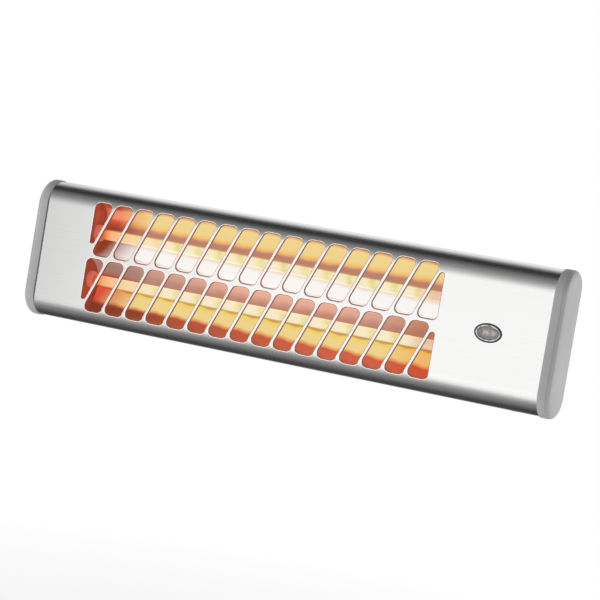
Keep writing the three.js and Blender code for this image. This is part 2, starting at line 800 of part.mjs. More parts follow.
function pullLever() {
  const radius = leverDiameter / 2;
  const tip = -halfHeight + clearance;
  const profile = [
    [0, tip],
    [radius * 0.6, tip],
    [radius, tip + radius * 0.5],
    [radius, collarBottom],
    [leverCollar / 2, collarBottom],
    [leverCollar / 2, collarTop],
    [0, collarTop],
  ];
  const centre = at(switchX, leverDepth, 0);
  const lever = solid(turned(profile, 'z', centre));
  const eyeAt = at(switchX, leverDepth, tip + leverEye * 1.5);
  return geometryOf(lever.subtract(hole(leverEye / 2, 'y', eyeAt, -radius * 2, radius * 2)));
}

function returnSpring() {
  const spring = windingGeometry(springRadius, springWire, springLength, springCurls, springWire);
  return spring.translate(switchX, leverDepth, boreBottom + clearance);
}

// The bush in the case's underside that the pull cord runs through.
function cordGuide() {
  const bore = leverDiameter / 2 + runningGap;
  const barrel = guideBarrel / 2;
  const flange = guideFlange / 2;
  const profile = [
    [bore, -halfHeight],
    [barrel, -halfHeight],
    [barrel, guideTop - guideThickness],
    [flange, guideTop - guideThickness],
    [flange, guideTop],
    [bore, guideTop],
    [bore, -halfHeight],
  ];
  return turned(profile, 'z', at(switchX, leverDepth, 0), 16);
}

// An angle spot-welded inside the rear panel, which the switch hangs from.
function switchHanger() {
  const back = panelFace - clearance;
  const half = hangerWidth / 2;
  const shelf = box(
    at(switchX - half, leverDepth - switchDepth / 2, hangerShelf),
    at(switchX + half, back, hangerShelf + hangerSheet),
  );
  const leg = box(
    at(switchX - half, back - hangerSheet, hangerShelf),
    at(switchX + half, back, hangerShelf + hangerHeight),
  );
  return geometryOf(solid(shelf).add(solid(leg)));
}

// ---------------------------------------------------------------- inlet, terminals and leads

function terminalBlock() {
  const back = panelFace - clearance;
  const half = blockSize.clone().multiplyScalar(0.5);
  const low = at(blockX - half.x, back - blockSize.y * 0.6, blockHeight - half.z);
  const high = at(blockX + half.x, back, blockHeight + half.z);
  let block = solid(box(low, high));
  for (const pole of [-1, 0, 1]) {
    const x = blockX + pole * blockPole;
    const tower = box(
      at(x - blockPole * 0.4, back - blockSize.y, blockHeight - half.z * 0.6),
      at(x + blockPole * 0.4, back - blockSize.y * 0.5, blockHeight + half.z * 0.6),
    );
    block = block.add(solid(tower));
    const screwHole = at(x, back - blockSize.y, blockHeight);
    block = block.subtract(hole(screwShank / 2, 'y', screwHole, -overcut, blockSize.y * 0.5));
  }
  return geometryOf(block);
}

function cableGland() {
  const bore = glandBore / 2;
  const barrel = glandDiameter / 2;
  const flange = glandFlange / 2;
  const seat = panelBack + clearance;
  const profile = [
    [bore, panelFace - glandInside],
    [barrel, panelFace - glandInside],
    [barrel, seat],
    [flange, seat],
    [flange, seat + glandFlangeThickness],
    [barrel, seat + glandFlangeThickness + glandChamfer],
    [barrel * 0.85, panelBack + glandReach],
    [bore, panelBack + glandReach],
    [bore, panelFace - glandInside],
  ];
  return turned(profile, 'y', at(glandX, 0, -glandDrop), 16);
}

function glandNut() {
  const outer = glandFlange / Math.sqrt(3);
  const back = panelFace - clearance;
  const inner = glandDiameter / 2 + clearance;
  const nut = turned(rod(outer, back - glandNutThickness, back), 'y', at(glandX, 0, -glandDrop), 6);
  const drill = hole(inner, 'y', at(glandX, 0, -glandDrop), caseDepth / 2, panelBack, 16);
  return geometryOf(solid(nut).subtract(drill));
}

// An insulated lead that bends smoothly through these points.
function lead(points) {
  const section = new THREE.Shape();
  section.absellipse(0, 0, leadDiameter / 2, leadDiameter / 2, 0, 2 * Math.PI, false);
  const path = new THREE.CatmullRomCurve3(points);
  return new THREE.ExtrudeGeometry(section, { steps: 14, curveSegments: 3, extrudePath: path });
}

const leadStart = ceramicEnd + studReach + clearance;

function linkLead() {
  const x = elementMiddle - leadStart;
  const z = tubeSpacing / 2;
  return lead([
    at(x, tubeDepth, z),
    at(x - leadStub, tubeDepth, z),
    at(x - linkReach * 0.9, tubeDepth, z * 0.6),
    at(x - linkReach, tubeDepth, 0),
    at(x - linkReach * 0.9, tubeDepth, -z * 0.6),
    at(x - leadStub, tubeDepth, -z),
    at(x, tubeDepth, -z),
  ]);
}

function upperLead() {
  const x = elementMiddle + leadStart;
  const z = tubeSpacing / 2;
  const end = at(blockX - blockSize.x / 2 - clearance, panelFace - blockEntry, blockHeight);
  return lead([
    at(x, tubeDepth, z),
    at(x + leadStub, tubeDepth, z),
    at((x + end.x) / 2, (tubeDepth + end.y) / 2, z + upperLeadRise),
    at(end.x - leadStub, end.y, end.z),
    end,
  ]);
}

function lowerLead() {
  const x = elementMiddle + leadStart;
  const z = -tubeSpacing / 2;
  const end = at(switchX - switchWidth / 2 - clearance, leverDepth, (switchTop + switchBottom) / 2);
  return lead([
    at(x, tubeDepth, z),
    at(x + leadStub, tubeDepth, z),
    at((x + end.x) / 2, tubeDepth, z - lowerLeadSag),
    at(end.x - leadStub, end.y, end.z),
    end,
  ]);
}

function switchLead() {
  const start = at(blockX + blockSize.x / 2 + clearance, panelFace - blockEntry, blockHeight);
  const end = at(switchX + switchWidth / 2 + clearance, leverDepth, (switchTop + switchBottom) / 2);
  const bulge = Math.max(start.x, end.x) + switchLeadBulge;
  return lead([
    start,
    at(start.x + shortStub, start.y, start.z),
    at(bulge, (start.y + end.y) / 2, (start.z + end.z) / 2),
    at(end.x + shortStub, end.y, end.z),
    end,
  ]);
}

function lampLead() {
  const start = at(lampX, neonDepth + neonDiameter / 2 + clearance, -lampDrop);
  const end = at(blockX - blockPole, panelFace - blockSize.y - 2 * clearance, blockHeight);
  return lead([
    start,
    at(start.x, bezelDepth + shortStub, start.z),
    at((start.x + end.x) / 2, end.y - lampLeadArch, (start.z + end.z) / 2),
    at(end.x, end.y - shortStub, end.z),
    end,
  ]);
}

// ---------------------------------------------------------------- the bracket and pivots

// A strip's outline about the pivot, in depth and height: full height by the wall, round in front.
function armOutline(tip, halfWidth, wallSide, straight) {
  const away = Math.sign(wallSide - pivotDepth);
  const outline = new THREE.Shape();
  outline.moveTo(wallSide, pivotHeight - halfWidth);
  outline.lineTo(wallSide, pivotHeight + halfWidth);
  outline.lineTo(wallSide - away * straight, pivotHeight + halfWidth);
  const start = Math.PI / 2;
  outline.absarc(pivotDepth, pivotHeight, tip, start, start + away * Math.PI, away < 0);
  outline.lineTo(wallSide - away * straight, pivotHeight - halfWidth);
  outline.closePath();
  return outline;
}

// One steel strip: flat along the wall, with an ear bent forward at each end.
function wallBracket() {
  const back = standoff;
  const front = pivotDepth - earTip;
  const radius = bracketBend;
  const inner = Math.max(0.2, bracketBend - bracketSheet);
  const quarter = Math.PI / 2;
  const strip = new THREE.Shape();
  strip.moveTo(-earOuter, front);
  strip.lineTo(-earOuter, back - radius);
  strip.absarc(-earOuter + radius, back - radius, radius, 2 * quarter, quarter, true);
  strip.lineTo(earOuter - radius, back);
  strip.absarc(earOuter - radius, back - radius, radius, quarter, 0, true);
  strip.lineTo(earOuter, front);
  strip.lineTo(earInner, front);
  strip.lineTo(earInner, back - bracketSheet - inner);
  strip.absarc(earInner - inner, back - bracketSheet - inner, inner, 0, quarter, false);
  strip.lineTo(-earInner + inner, back - bracketSheet);
  strip.absarc(-earInner + inner, back - bracketSheet - inner, inner, quarter, 2 * quarter, false);
  strip.lineTo(-earInner, front);
  const half = bracketHeight / 2;
  const bent = extruded(strip, 'z', pivotHeight - half, pivotHeight + half, { curveSegments: 4 });
  const earShape = armOutline(earTip, half, back + overcut, earTaper + overcut);
  let bracket = solid(bent).intersect(solid(extruded(earShape, 'x', -halfLength, halfLength)));
  for (const side of [-1, 1]) {
    const pivot = at(side * earInner, pivotDepth, pivotHeight);
    const drill = hole(holeRadius(pivotShank), 'x', pivot, -2 * bracketSheet, 2 * bracketSheet, 12);
    bracket = bracket.subtract(drill);
    const place = at((side * keyholeSpacing) / 2, back, pivotHeight);
    const low = place.clone().add(at(0, 0, -keyholeRise / 2));
    const high = place.clone().add(at(0, 0, keyholeRise / 2));
    bracket = bracket.subtract(hole(keyholeHead / 2, 'y', low, -2 * bracketSheet, bracketSheet));
    bracket = bracket.subtract(hole(keyholeNeck / 2, 'y', high, -2 * bracketSheet, bracketSheet));
    const neck = box(
      at(low.x - keyholeNeck / 2, back - 2 * bracketSheet, low.z),
      at(low.x + keyholeNeck / 2, back + bracketSheet, high.z),
    );
    bracket = bracket.subtract(solid(neck));
  }
  return geometryOf(bracket);
}

// An angle spot-welded to the rear panel; its arm lies inside the bracket's ear.
function pivotLug(side) {
  const near = panelBack + clearance;
  const shape = new THREE.Shape();
  const far = pivotDepth + lugTip;
  shape.moveTo(lugOuter - lugFoot, near);
  shape.lineTo(lugOuter, near);
  shape.lineTo(lugOuter, far);
  shape.lineTo(lugOuter - lugSheet, far);
  shape.lineTo(lugOuter - lugSheet, near + lugSheet);
  shape.lineTo(lugOuter - lugFoot, near + lugSheet);
  const bent = extruded(shape, 'z', pivotHeight - lugTip, pivotHeight + lugTip);
  const arm = armOutline(lugTip, lugTip, near - overcut, lugTaper + overcut);
  let lug = solid(bent).intersect(solid(extruded(arm, 'x', 0, halfLength)));
  const pivot = at(lugOuter, pivotDepth, pivotHeight);
  lug = lug.subtract(hole(holeRadius(pivotShank), 'x', pivot, -2 * lugSheet, lugSheet, 12));
  const geometry = geometryOf(lug);
  return side > 0 ? geometry : geometry.scale(-1, 1, 1);
}

function pivotScrew(side) {
  const seat = earOuter + 2 * clearance + pivotWasher;
  const tip = lugOuter - lugSheet - pivotNutThickness - pivotTail;
  const shank = pivotShank / 2;
  const head = pivotHead / 2;
  const profile = [
    [0, tip],
    [shank, tip],
    [shank, seat],
    [head, seat],
    [head, seat + pivotHeadHeight * 0.6],
    [head * 0.7, seat + pivotHeadHeight],
    [0, seat + pivotHeadHeight],
  ].map(([radius, along]) => [radius, side * along]);
  return turned(profile, 'x', at(0, pivotDepth, pivotHeight), 12);
}

function pivotWasherRing(side) {
  const seat = earOuter + clearance;
  const profile = ring(holeRadius(pivotShank), pivotHead / 2 + pivotWasherRim, seat, seat + pivotWasher)
    .map(([radius, along]) => [radius, side * along]);
  return turned(profile, 'x', at(0, pivotDepth, pivotHeight), 12);
}

function pivotNut(side) {
  const seat = lugOuter - lugSheet - clearance;
  const outer = pivotNutAcross / Math.sqrt(3);
  const profile = rod(outer, seat - pivotNutThickness, seat)
    .map(([radius, along]) => [radius, side * along]);
  const centre = at(0, pivotDepth, pivotHeight);
  const nut = solid(turned(profile, 'x', centre, 6));
  const bore = at(side * seat, pivotDepth, pivotHeight);
  const reach = 2 * pivotNutThickness;
  return geometryOf(nut.subtract(hole(holeRadius(pivotShank), 'x', bore, -reach, reach, 12)));
}

// ---------------------------------------------------------------- assembly

const heater = new THREE.Group();
heater.position.set(0, -standoff, -pivotHeight);

function add(name, geometry, material) {
  const mesh = new THREE.Mesh(closed(geometry), material);
  mesh.name = name;
  heater.add(mesh);
}

add('wall_bracket', wallBracket(), zincSteel);
add('front_housing', frontHousing(), brushedSteel);
add('rear_panel', rearPanel(), zincSteel);

for (const [side, end] of [[-1, 'left'], [1, 'right']]) {
  add(`${end}_end_cap`, endCap(side), greyPlastic);
  add(`${end}_pivot_lug`, pivotLug(side), zincSteel);
  add(`${end}_pivot_screw`, pivotScrew(side), blackSteel);
  add(`${end}_pivot_washer`, pivotWasherRing(side), zincSteel);
  add(`${end}_pivot_nut`, pivotNut(side), zincSteel);
  add(`${end}_tube_plate`, tubePlate(side), zincSteel);
}

for (const [row, name] of [[1, 'upper'], [-1, 'lower']]) {
  add(`${name}_reflector`, reflector(row), polishedAluminium);
  add(`${name}_quartz_tube`, quartzTube(row), quartz);
  add(`${name}_heating_coil`, heatingCoil(row), hotWire);
  for (const [side, end] of [[-1, 'left'], [1, 'right']]) {
    add(`${name}_${end}_ceramic`, ceramicCap(side, row), steatite);
    add(`${name}_${end}_terminal`, terminalStud(side, row), brass);
  }
}

const placeName = ({ x, z }) => `${x < elementMiddle ? 'left' : 'right'}_${z > 0 ? 'upper' : 'lower'}`;
for (const place of rearScrewPlaces()) {
  add(`rear_screw_${placeName(place)}`, panScrew(place.x, panelBack, place.z), blackSteel);
}
for (const place of capScrewPlaces()) {
  add(`cap_screw_${placeName(place)}`, panScrew(place.x, caseDepth + capProud, place.z), blackSteel);
}
for (const place of plateScrewPlaces()) {
  add(`plate_screw_${placeName(place)}`, panScrew(place.x, panelBack, place.z), blackSteel);
}

add('lamp_bezel', lampBezel(), darkPlastic);
add('lamp_lens', lampLens(), lensPlastic);
add('neon_lamp', neonLamp(), neonGlass);
add('lamp_clip', lampClip(), zincSteel);

add('switch_body', switchBody(), darkPlastic);
add('pull_lever', pullLever(), greyPlastic);
add('return_spring', returnSpring(), blackSteel);
add('cord_guide', cordGuide(), greyPlastic);
add('switch_hanger', switchHanger(), zincSteel);

add('terminal_block', terminalBlock(), steatite);
add('cable_gland', cableGland(), darkPlastic);
add('gland_nut', glandNut(), darkPlastic);
add('earth_screw', panScrew(earthX, panelBack, earthHeight), brass);

add('element_link_lead', linkLead(), leadSleeve);
add('upper_element_lead', upperLead(), leadSleeve);
add('lower_element_lead', lowerLead(), leadSleeve);
add('switch_lead', switchLead(), leadSleeve);
add('lamp_lead', lampLead(), leadSleeve);

const coilPoints = windingPoints(coilDiameter / 2, coilLength, coilCurls, coilTail);
const springPoints = windingPoints(springRadius, springLength, springCurls, springWire);
console.log(`coil's least gap to itself: ${leastGap(coilPoints, coilWire).toFixed(2)} mm`);
console.log(`spring's least gap to itself: ${leastGap(springPoints, springWire).toFixed(2)} mm`);

const part = new THREE.Group();
part.add(heater);
export default part;
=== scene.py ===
# %% [markdown]
# # A wall heater with two glowing tubes
# This lesson dresses a CAD model of a slim electric heater. The CAD nodes say where everything
# is, and each cell models or paints one piece over them.

# %% Load the frame
import json
import math
import bpy
from mathutils import Matrix, Vector


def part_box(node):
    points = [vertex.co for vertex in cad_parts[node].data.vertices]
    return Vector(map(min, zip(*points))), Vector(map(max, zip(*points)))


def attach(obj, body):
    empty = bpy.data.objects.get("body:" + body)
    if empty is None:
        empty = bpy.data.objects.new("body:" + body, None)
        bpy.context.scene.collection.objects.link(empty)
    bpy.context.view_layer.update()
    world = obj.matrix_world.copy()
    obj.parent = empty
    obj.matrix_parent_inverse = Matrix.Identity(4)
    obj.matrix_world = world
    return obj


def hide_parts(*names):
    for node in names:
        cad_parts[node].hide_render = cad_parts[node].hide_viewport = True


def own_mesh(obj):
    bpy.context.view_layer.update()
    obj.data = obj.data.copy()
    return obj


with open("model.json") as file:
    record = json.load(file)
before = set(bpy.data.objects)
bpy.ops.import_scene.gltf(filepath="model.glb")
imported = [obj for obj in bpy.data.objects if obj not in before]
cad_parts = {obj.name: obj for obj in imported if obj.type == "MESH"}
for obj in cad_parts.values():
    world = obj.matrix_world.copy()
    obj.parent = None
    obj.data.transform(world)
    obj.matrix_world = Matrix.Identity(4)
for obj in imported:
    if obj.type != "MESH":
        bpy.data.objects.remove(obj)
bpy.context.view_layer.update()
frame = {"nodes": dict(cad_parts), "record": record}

# %% [markdown]
# ## Measuring from the front face
# The heater is drawn about the middle of its front face: x runs to the right, depth runs back
# from the face and z runs up. The wall behind it is the origin of the frame, so one small
# function turns millimetres from the face into the frame's metres.

# %% Places on the heater
MM = 0.001
FACE = Vector((0, -70, -29))  # the middle of the front face, in mm from the origin


def spot(x, depth, z):
    return (Vector((x, depth, z)) + FACE) * MM


print("The face's middle is at", tuple(round(v, 3) for v in spot(0, 0, 0)))

# %% [markdown]
# ## The camera
# The picture was taken with a long lens from the right and a little above, with the camera
# tilted, which makes the heater slope down. A camera is placed by its own axes here: a yaw, an
# elevation and a roll give three directions, and they become the columns of its matrix.

# %% Camera
yaw, rise, roll = math.radians(25.0), math.radians(3.01), math.radians(9.454)
back = Vector((math.sin(yaw) * math.cos(rise), -math.cos(yaw) * math.cos(rise), math.sin(rise)))
level = Vector((math.cos(yaw), math.sin(yaw), 0))
above = back.cross(level)
across = level * math.cos(roll) + above * math.sin(roll)
upright = above * math.cos(roll) - level * math.sin(roll)

camera = bpy.data.objects.new("camera", bpy.data.cameras.new("camera"))
bpy.context.scene.collection.objects.link(camera)
camera.matrix_world = Matrix((across, upright, back)).transposed().to_4x4()
camera.location = spot(834.14, -1746.03, 98.08)
camera.data.sensor_width = 36
camera.data.lens = 132.79
camera.data.clip_start, camera.data.clip_end = 0.1, 50
bpy.context.scene.camera = camera
bpy.context.scene.view_settings.view_transform = "Standard"
print("Camera at", tuple(round(v, 3) for v in camera.location))

# %% [markdown]
# ## Small tools for modelling
# Operators act on whatever is selected, so every step starts by clearing the selection. `choose`
# selects vertices, edges or faces by their place and direction, as one would by clicking, and
# leaves edit mode open for the next operator. `modify` adds a modifier and applies it at once.
# All of them go back to object mode first, so most cells don't have to.

# %% Selecting and finishing
def enter(mode):
    bpy.ops.object.mode_set(mode=mode)


def clear():
    """Go back to object mode, with nothing selected."""
    if bpy.context.object and bpy.context.object.mode != "OBJECT":
        enter("OBJECT")
    bpy.ops.object.select_all(action="DESELECT")


def pick(piece):
    clear()
    piece.select_set(True)
    bpy.context.view_layer.objects.active = piece


def named(name):
    piece = bpy.context.object
    piece.name = piece.data.name = name
    return piece


def settle(piece):
    pick(piece)
    bpy.ops.object.transform_apply(location=True, rotation=True, scale=True)
    return piece


def choose(piece, kind, test):
    pick(piece)
    enter("EDIT")
    bpy.ops.mesh.select_mode(type=kind)
    bpy.ops.mesh.select_all(action="DESELECT")
    enter("OBJECT")
    mesh = piece.data
    where = [v.co / MM - FACE for v in mesh.vertices]
    if kind == "VERT":
        for vertex in mesh.vertices:
            vertex.select = test(where[vertex.index], vertex.normal)
    elif kind == "EDGE":
        for edge in mesh.edges:
            one, other = (where[i] for i in edge.vertices)
            edge.select = test((one + other) / 2, (other - one).normalized())
    else:
        for face in mesh.polygons:
            face.select = test(face.center / MM - FACE, face.normal)
    enter("EDIT")


def open_all(piece):
    """Open a piece for editing, with all of it selected."""
    pick(piece)
    enter("EDIT")
    bpy.ops.mesh.select_mode(type="VERT")
    bpy.ops.mesh.select_all(action="SELECT")


def smooth(piece, angle=30):
    pick(piece)
    bpy.ops.object.shade_smooth_by_angle(angle=math.radians(angle))
    return piece


def tidy(piece):
    """Merge doubled vertices and turn every face outwards."""
    open_all(piece)
    bpy.ops.mesh.remove_doubles(threshold=0.00001)
    bpy.ops.mesh.normals_make_consistent(inside=False)
    enter("OBJECT")
    return piece


def tell(piece):
    piece.data.calc_loop_triangles()
    size = [round(v / MM, 1) for v in piece.dimensions]
    print(f"{piece.name}: {len(piece.data.loop_triangles)} triangles, {size} mm")


print("Selecting tools are ready")

# %% Shaping
def block(name, low, high):
    low, high = spot(*low), spot(*high)
    clear()
    bpy.ops.mesh.primitive_cube_add(size=1, location=(low + high) / 2)
    bpy.context.object.scale = high - low
    return settle(named(name))


def modify(piece, kind, **settings):
    pick(piece)
    modifier = piece.modifiers.new(kind.lower(), kind)
    for setting, value in settings.items():
        setattr(modifier, setting, value)
    bpy.ops.object.modifier_apply(modifier=modifier.name)
    return piece


def cut(piece, tool):
    modify(piece, "BOOLEAN", operation="DIFFERENCE", object=tool, solver="EXACT")
    bpy.data.objects.remove(tool, do_unlink=True)


def join(pieces):
    pick(pieces[0])
    for piece in pieces:
        piece.select_set(True)
    bpy.ops.object.join()
    return bpy.context.object


def copy_of(piece, name, move=(0, 0, 0)):
    twin = bpy.data.objects.new(name, piece.data.copy())
    twin.data.name = name
    bpy.context.scene.collection.objects.link(twin)
    twin.location = Vector(move) * MM
    return settle(twin)


def extrude(x=0.0, depth=0.0, z=0.0):
    bpy.ops.mesh.extrude_region_move(TRANSFORM_OT_translate={"value": (x * MM, depth * MM, z * MM)})


def bevel(piece, kind, test, reach, segments, **settings):
    """Round off the chosen vertices or edges, by a reach in mm."""
    choose(piece, kind, test)
    affect = "VERTICES" if kind == "VERT" else "EDGES"
    bpy.ops.mesh.bevel(offset=reach * MM, segments=segments, affect=affect, **settings)


def ease(piece, width, segments=2, angle=50):
    """Take the sharpness off every edge that turns more than the angle."""
    modify(piece, "BEVEL", width=width * MM, segments=segments, limit_method="ANGLE",
           angle_limit=math.radians(angle))


def repeat(piece, count, step):
    """Copies in a row along the heater, a step in mm apart."""
    modify(piece, "ARRAY", count=count, use_relative_offset=False, use_constant_offset=True,
           constant_offset_displace=(step * MM, 0, 0))


def paint_faces(piece, index, test):
    """Give the chosen faces one of the piece's materials."""
    choose(piece, "FACE", test)
    piece.active_material_index = index
    bpy.ops.object.material_slot_assign()
    enter("OBJECT")


print("Shaping tools are ready")

# %% [markdown]
# ## Turned and drawn-out shapes
# Round and oval pieces such as tubes, studs, screws and the lamp's rings are all made in one
# way: a circle is extruded ring after ring, and each ring gets its own size and place. It is
# what a lathe does, and it keeps the mesh clean. The piece is drawn standing on Z and then laid
# along the axis that it has in the heater.

# %% Ring by ring
LAID = {"x": (0, math.pi / 2, 0), "-x": (0, -math.pi / 2, 0), "y": (-math.pi / 2, 0, 0), "z": (0, 0, 0)}


def ringed(name, rings, axis, centre, sides=48, capped=True):
    """rings: (half width, half height, place along the axis) or (radius, place), in mm."""
    sizes = [ring if len(ring) == 3 else (ring[0], ring[0], ring[1]) for ring in rings]
    clear()
    bpy.ops.mesh.primitive_circle_add(vertices=sides, radius=1, fill_type="NGON" if capped else "NOTHING")
    piece = named(name)
    open_all(piece)
    wide, high, along = sizes[0]
    bpy.ops.transform.resize(value=(wide * MM, high * MM, 1), center_override=(0, 0, 0))
    bpy.ops.transform.translate(value=(0, 0, along * MM))
    for new_wide, new_high, new_along in sizes[1:]:
        extrude(z=new_along - along)
        grow = (new_wide / wide, new_high / high, 1)
        bpy.ops.transform.resize(value=grow, center_override=(0, 0, new_along * MM))
        wide, high, along = new_wide, new_high, new_along
    piece.rotation_euler = LAID[axis]
    piece.location = spot(*centre)
    settle(piece)
    return tidy(piece)


def bored(piece, radius, axis, centre, reach=3, sides=32):
    """Drill a round hole through a piece."""
    cut(piece, ringed("drill", [(radius, -reach), (radius, reach)], axis, centre, sides))


print("Rings can be laid along", ", ".join(LAID))

# %% [markdown]
# ## Small tools for materials
# A material is a chain of nodes. `add_node` adds any node and fills its inputs, and
# `new_material` starts a material: it returns the shader and the object's coordinates in
# millimetres, so that every pattern below is scaled from a real size. `shades` turns a measure
# into colours or levels, and `grained` makes a whole material from a single noise. Colours are
# written as the hex values one sees, and one function turns them to the linear values that light
# adds up in.

# %% Material helpers
def linear(code):
    parts = [int(code[i:i + 2], 16) / 255 for i in (1, 3, 5)]
    return (*[p / 12.92 if p <= 0.04045 else ((p + 0.055) / 1.055) ** 2.4 for p in parts], 1)


def fill(node, inputs):
    """An input takes a value, one output of another node, or the other node for its first output."""
    for socket, value in inputs.items():
        if isinstance(value, bpy.types.Node):
            value = value.outputs[0]
        if isinstance(value, bpy.types.NodeSocket):
            node.id_data.links.new(value, node.inputs[socket])
        else:
            node.inputs[socket].default_value = value


def add_node(tree, kind, inputs=None, **settings):
    made = tree.nodes.new("ShaderNode" + kind)
    for setting, value in settings.items():
        setattr(made, setting, value)
    fill(made, inputs or {})
    return made


def new_material(name, clear=0.0, **shader_inputs):
    """A material with one shader, a share of which may be clear as glass."""
    material = bpy.data.materials.new(name)
    material.use_nodes = True
    tree = material.node_tree
    tree.nodes.clear()
    shader = add_node(tree, "BsdfPrincipled", {
        socket.replace("_", " "): value for socket, value in shader_inputs.items()
    })
    surface = shader
    if clear:
        glass = add_node(tree, "BsdfTransparent")
        surface = add_node(tree, "MixShader", {0: clear, 1: shader, 2: glass})
    add_node(tree, "OutputMaterial", {"Surface": surface})
    place = add_node(tree, "TexCoord").outputs["Object"]
    in_mm = add_node(tree, "VectorMath", {0: place, 1: (1000, 1000, 1000)}, operation="MULTIPLY")
    return material, tree, shader, in_mm


def noise(place, stretch, scale=1.0, detail=2.0, roughness=0.5):
    """Noise whose grain is 1 / scale mm, drawn out along the axes whose stretch is small."""
    tree = place.id_data
    drawn = add_node(tree, "VectorMath", {0: place, 1: stretch}, operation="MULTIPLY")
    return add_node(tree, "TexNoise", {
        "Vector": drawn, "Scale": scale, "Detail": detail, "Roughness": roughness,
    })


def shades(measure, *stops):
    """Colours or levels along a measure; stops are (value, hex colour or level), values rising."""
    tree = measure.id_data
    low, high = stops[0][0], stops[-1][0]
    share = add_node(tree, "MapRange", {"Value": measure, "From Min": low, "From Max": high})
    made = add_node(tree, "ValToRGB", {"Fac": share})
    line = made.color_ramp.elements
    while len(line) < len(stops):
        line.new(0.5)
    for element, (value, tone) in zip(line, stops):
        element.position = (value - low) / (high - low)
        element.color = linear(tone) if isinstance(tone, str) else (tone, tone, tone, 1)
    return made


def grained(name, scale, tones, gloss=(), stretch=(1, 1, 1), detail=2.0, rough=0.5, bump=0.0, **inputs):
    """A material whose colour follows one noise, and so may its roughness and its bumps, in mm."""
    material, tree, shader, place = new_material(name, **inputs)
    grain = noise(place, stretch, scale, detail, rough)
    fill(shader, {"Base Color": shades(grain, *tones)})
    if gloss:
        fill(shader, {"Roughness": shades(grain, *gloss)})
    if bump:
        fill(shader, {"Normal": add_node(tree, "Bump", {"Height": grain, "Distance": bump * MM})})
    return material


print("Material helpers are ready")

# %% [markdown]
# ## Brushed stainless steel
# The front is ferritic stainless sheet, brushed along its length with an abrasive belt. The belt
# leaves scratches a few tenths of a millimetre apart and several centimetres long, which spread a
# reflection up and down but hardly sideways. The shader's anisotropy does that: the tangent is
# the heater's length, turned by a quarter. Long thin noise adds the faint lines that the eye
# still sees. They are drawn about 1 mm apart, so that they show.

# %% Brushed steel
brushed_steel, tree, shader, place = new_material("brushed_stainless_steel", Metallic=1.0, Roughness=0.19,
                                                  Anisotropic=0.9, Anisotropic_Rotation=0.25)
scratch = noise(place, (0.01, 0.6, 1.0), 1.0, 3.0, 0.6)
fill(shader, {
    "Tangent": add_node(tree, "CombineXYZ", {"X": 1.0}),
    "Base Color": shades(scratch, (0.3, "#F5F5F4"), (0.5, "#F8F8F7"), (0.7, "#FBFBFA")),
    "Roughness": shades(scratch, (0.3, 0.175), (0.7, 0.21)),
    "Normal": add_node(tree, "Bump", {"Height": scratch, "Distance": 0.003 * MM}),
})
print(brushed_steel.name)

# %% [markdown]
# ## Punched edges
# The slots are punched, and their edges are turned in. A punched edge is a torn, grey surface
# without brushing. Its colour is browner towards the left end, and the same colour is also given
# as a faint glow: painted warm light of the tubes, which glow redder at that end. The eye sees it
# as a fine dark line along each slot.

# %% Edges with a painted glow
punched_edge_painted_glow, tree, shader, place = new_material("punched_steel_with_painted_glow", Metallic=0.3, Roughness=0.55,
                                                 Emission_Strength=0.3)
length = add_node(tree, "SeparateXYZ", {0: place}).outputs["X"]
torn = noise(place, (0.5, 1, 0.5), 0.4)
uneven = add_node(tree, "Math", {0: torn, 1: 60.0, 2: length}, operation="MULTIPLY_ADD")
# This colour is both the edge's colour and its faint glow, a painted light of the tubes.
tint = shades(uneven, (-180, "#84503F"), (-40, "#8E6E64"), (170, "#7C706C"))
fill(shader, {"Base Color": tint, "Emission Color": tint})
print(punched_edge_painted_glow.name)

# %% [markdown]
# ## Zinc-plated steel
# The wall bracket, the rear panel and the small angles inside are plain steel with a thin zinc
# plating. It is duller than the front and faintly mottled, with patches of a few millimetres
# and a fine grain from rolling.

# %% Zinc-plated steel
zinc_steel, tree, shader, place = new_material("zinc_plated_steel", Metallic=1.0, Roughness=0.42)
mottle = noise(place, (1, 1, 1), 0.16, 3.0, 0.6)
grain = noise(place, (0.2, 1, 3.0), 1.2)
fill(shader, {
    "Base Color": shades(mottle, (0.32, "#9DA1A4"), (0.5, "#B4B8BA"), (0.68, "#C6C9CA")),
    "Roughness": shades(mottle, (0.3, 0.52), (0.7, 0.34)),
    "Normal": add_node(tree, "Bump", {"Height": grain, "Distance": 0.01 * MM}),
})
print(zinc_steel.name)

# %% [markdown]
# ## Moulded plastics
# The end caps, the lever and the cord's bush are grey ABS moulded against a spark-eroded tool,
# which leaves a fine even grain of about 0.4 mm. The grain breaks up the gloss, and the colour
# drifts a little where the plastic flowed. The lamp's ring, the switch and the gland are a
# dark grade of the same. The grain is drawn at 0.6 mm.

# %% Grey and dark plastic
def moulded(name, low, middle, high, gloss):
    material, tree, shader, place = new_material(name, Roughness=gloss, IOR=1.5)
    flow = noise(place, (1, 1, 0.5), 0.03)
    grain = noise(place, (1, 1, 1), 1.7, 3.0, 0.6)
    fill(shader, {
        "Base Color": shades(flow, (0.3, low), (0.5, middle), (0.7, high)),
        "Roughness": shades(grain, (0.3, gloss - 0.05), (0.7, gloss + 0.08)),
        "Normal": add_node(tree, "Bump", {"Height": grain, "Distance": 0.02 * MM}),
    })
    return material


grey_plastic = moulded("moulded_grey_ABS", "#A6A6A6", "#A9A9A9", "#ADADAD", 0.5)
dark_plastic = moulded("moulded_dark_grey_ABS", "#38393A", "#3E3F41", "#45464A", 0.4)
print(grey_plastic.name, dark_plastic.name)

# %% [markdown]
# ## The light inside
# Behind the slots two bright aluminium troughs mirror the glowing tubes, so the eye sees bands of
# yellow, orange and dark red rather than metal. Such a mirror of a mirror takes very long to
# render, so the troughs get the bands as a soft glow of their own over a real glossy metal. The
# bands follow the height in the trough, dip once for each slot, and turn to deep red near the
# left end, where the tubes are cooler. Nothing in them depends on the camera.

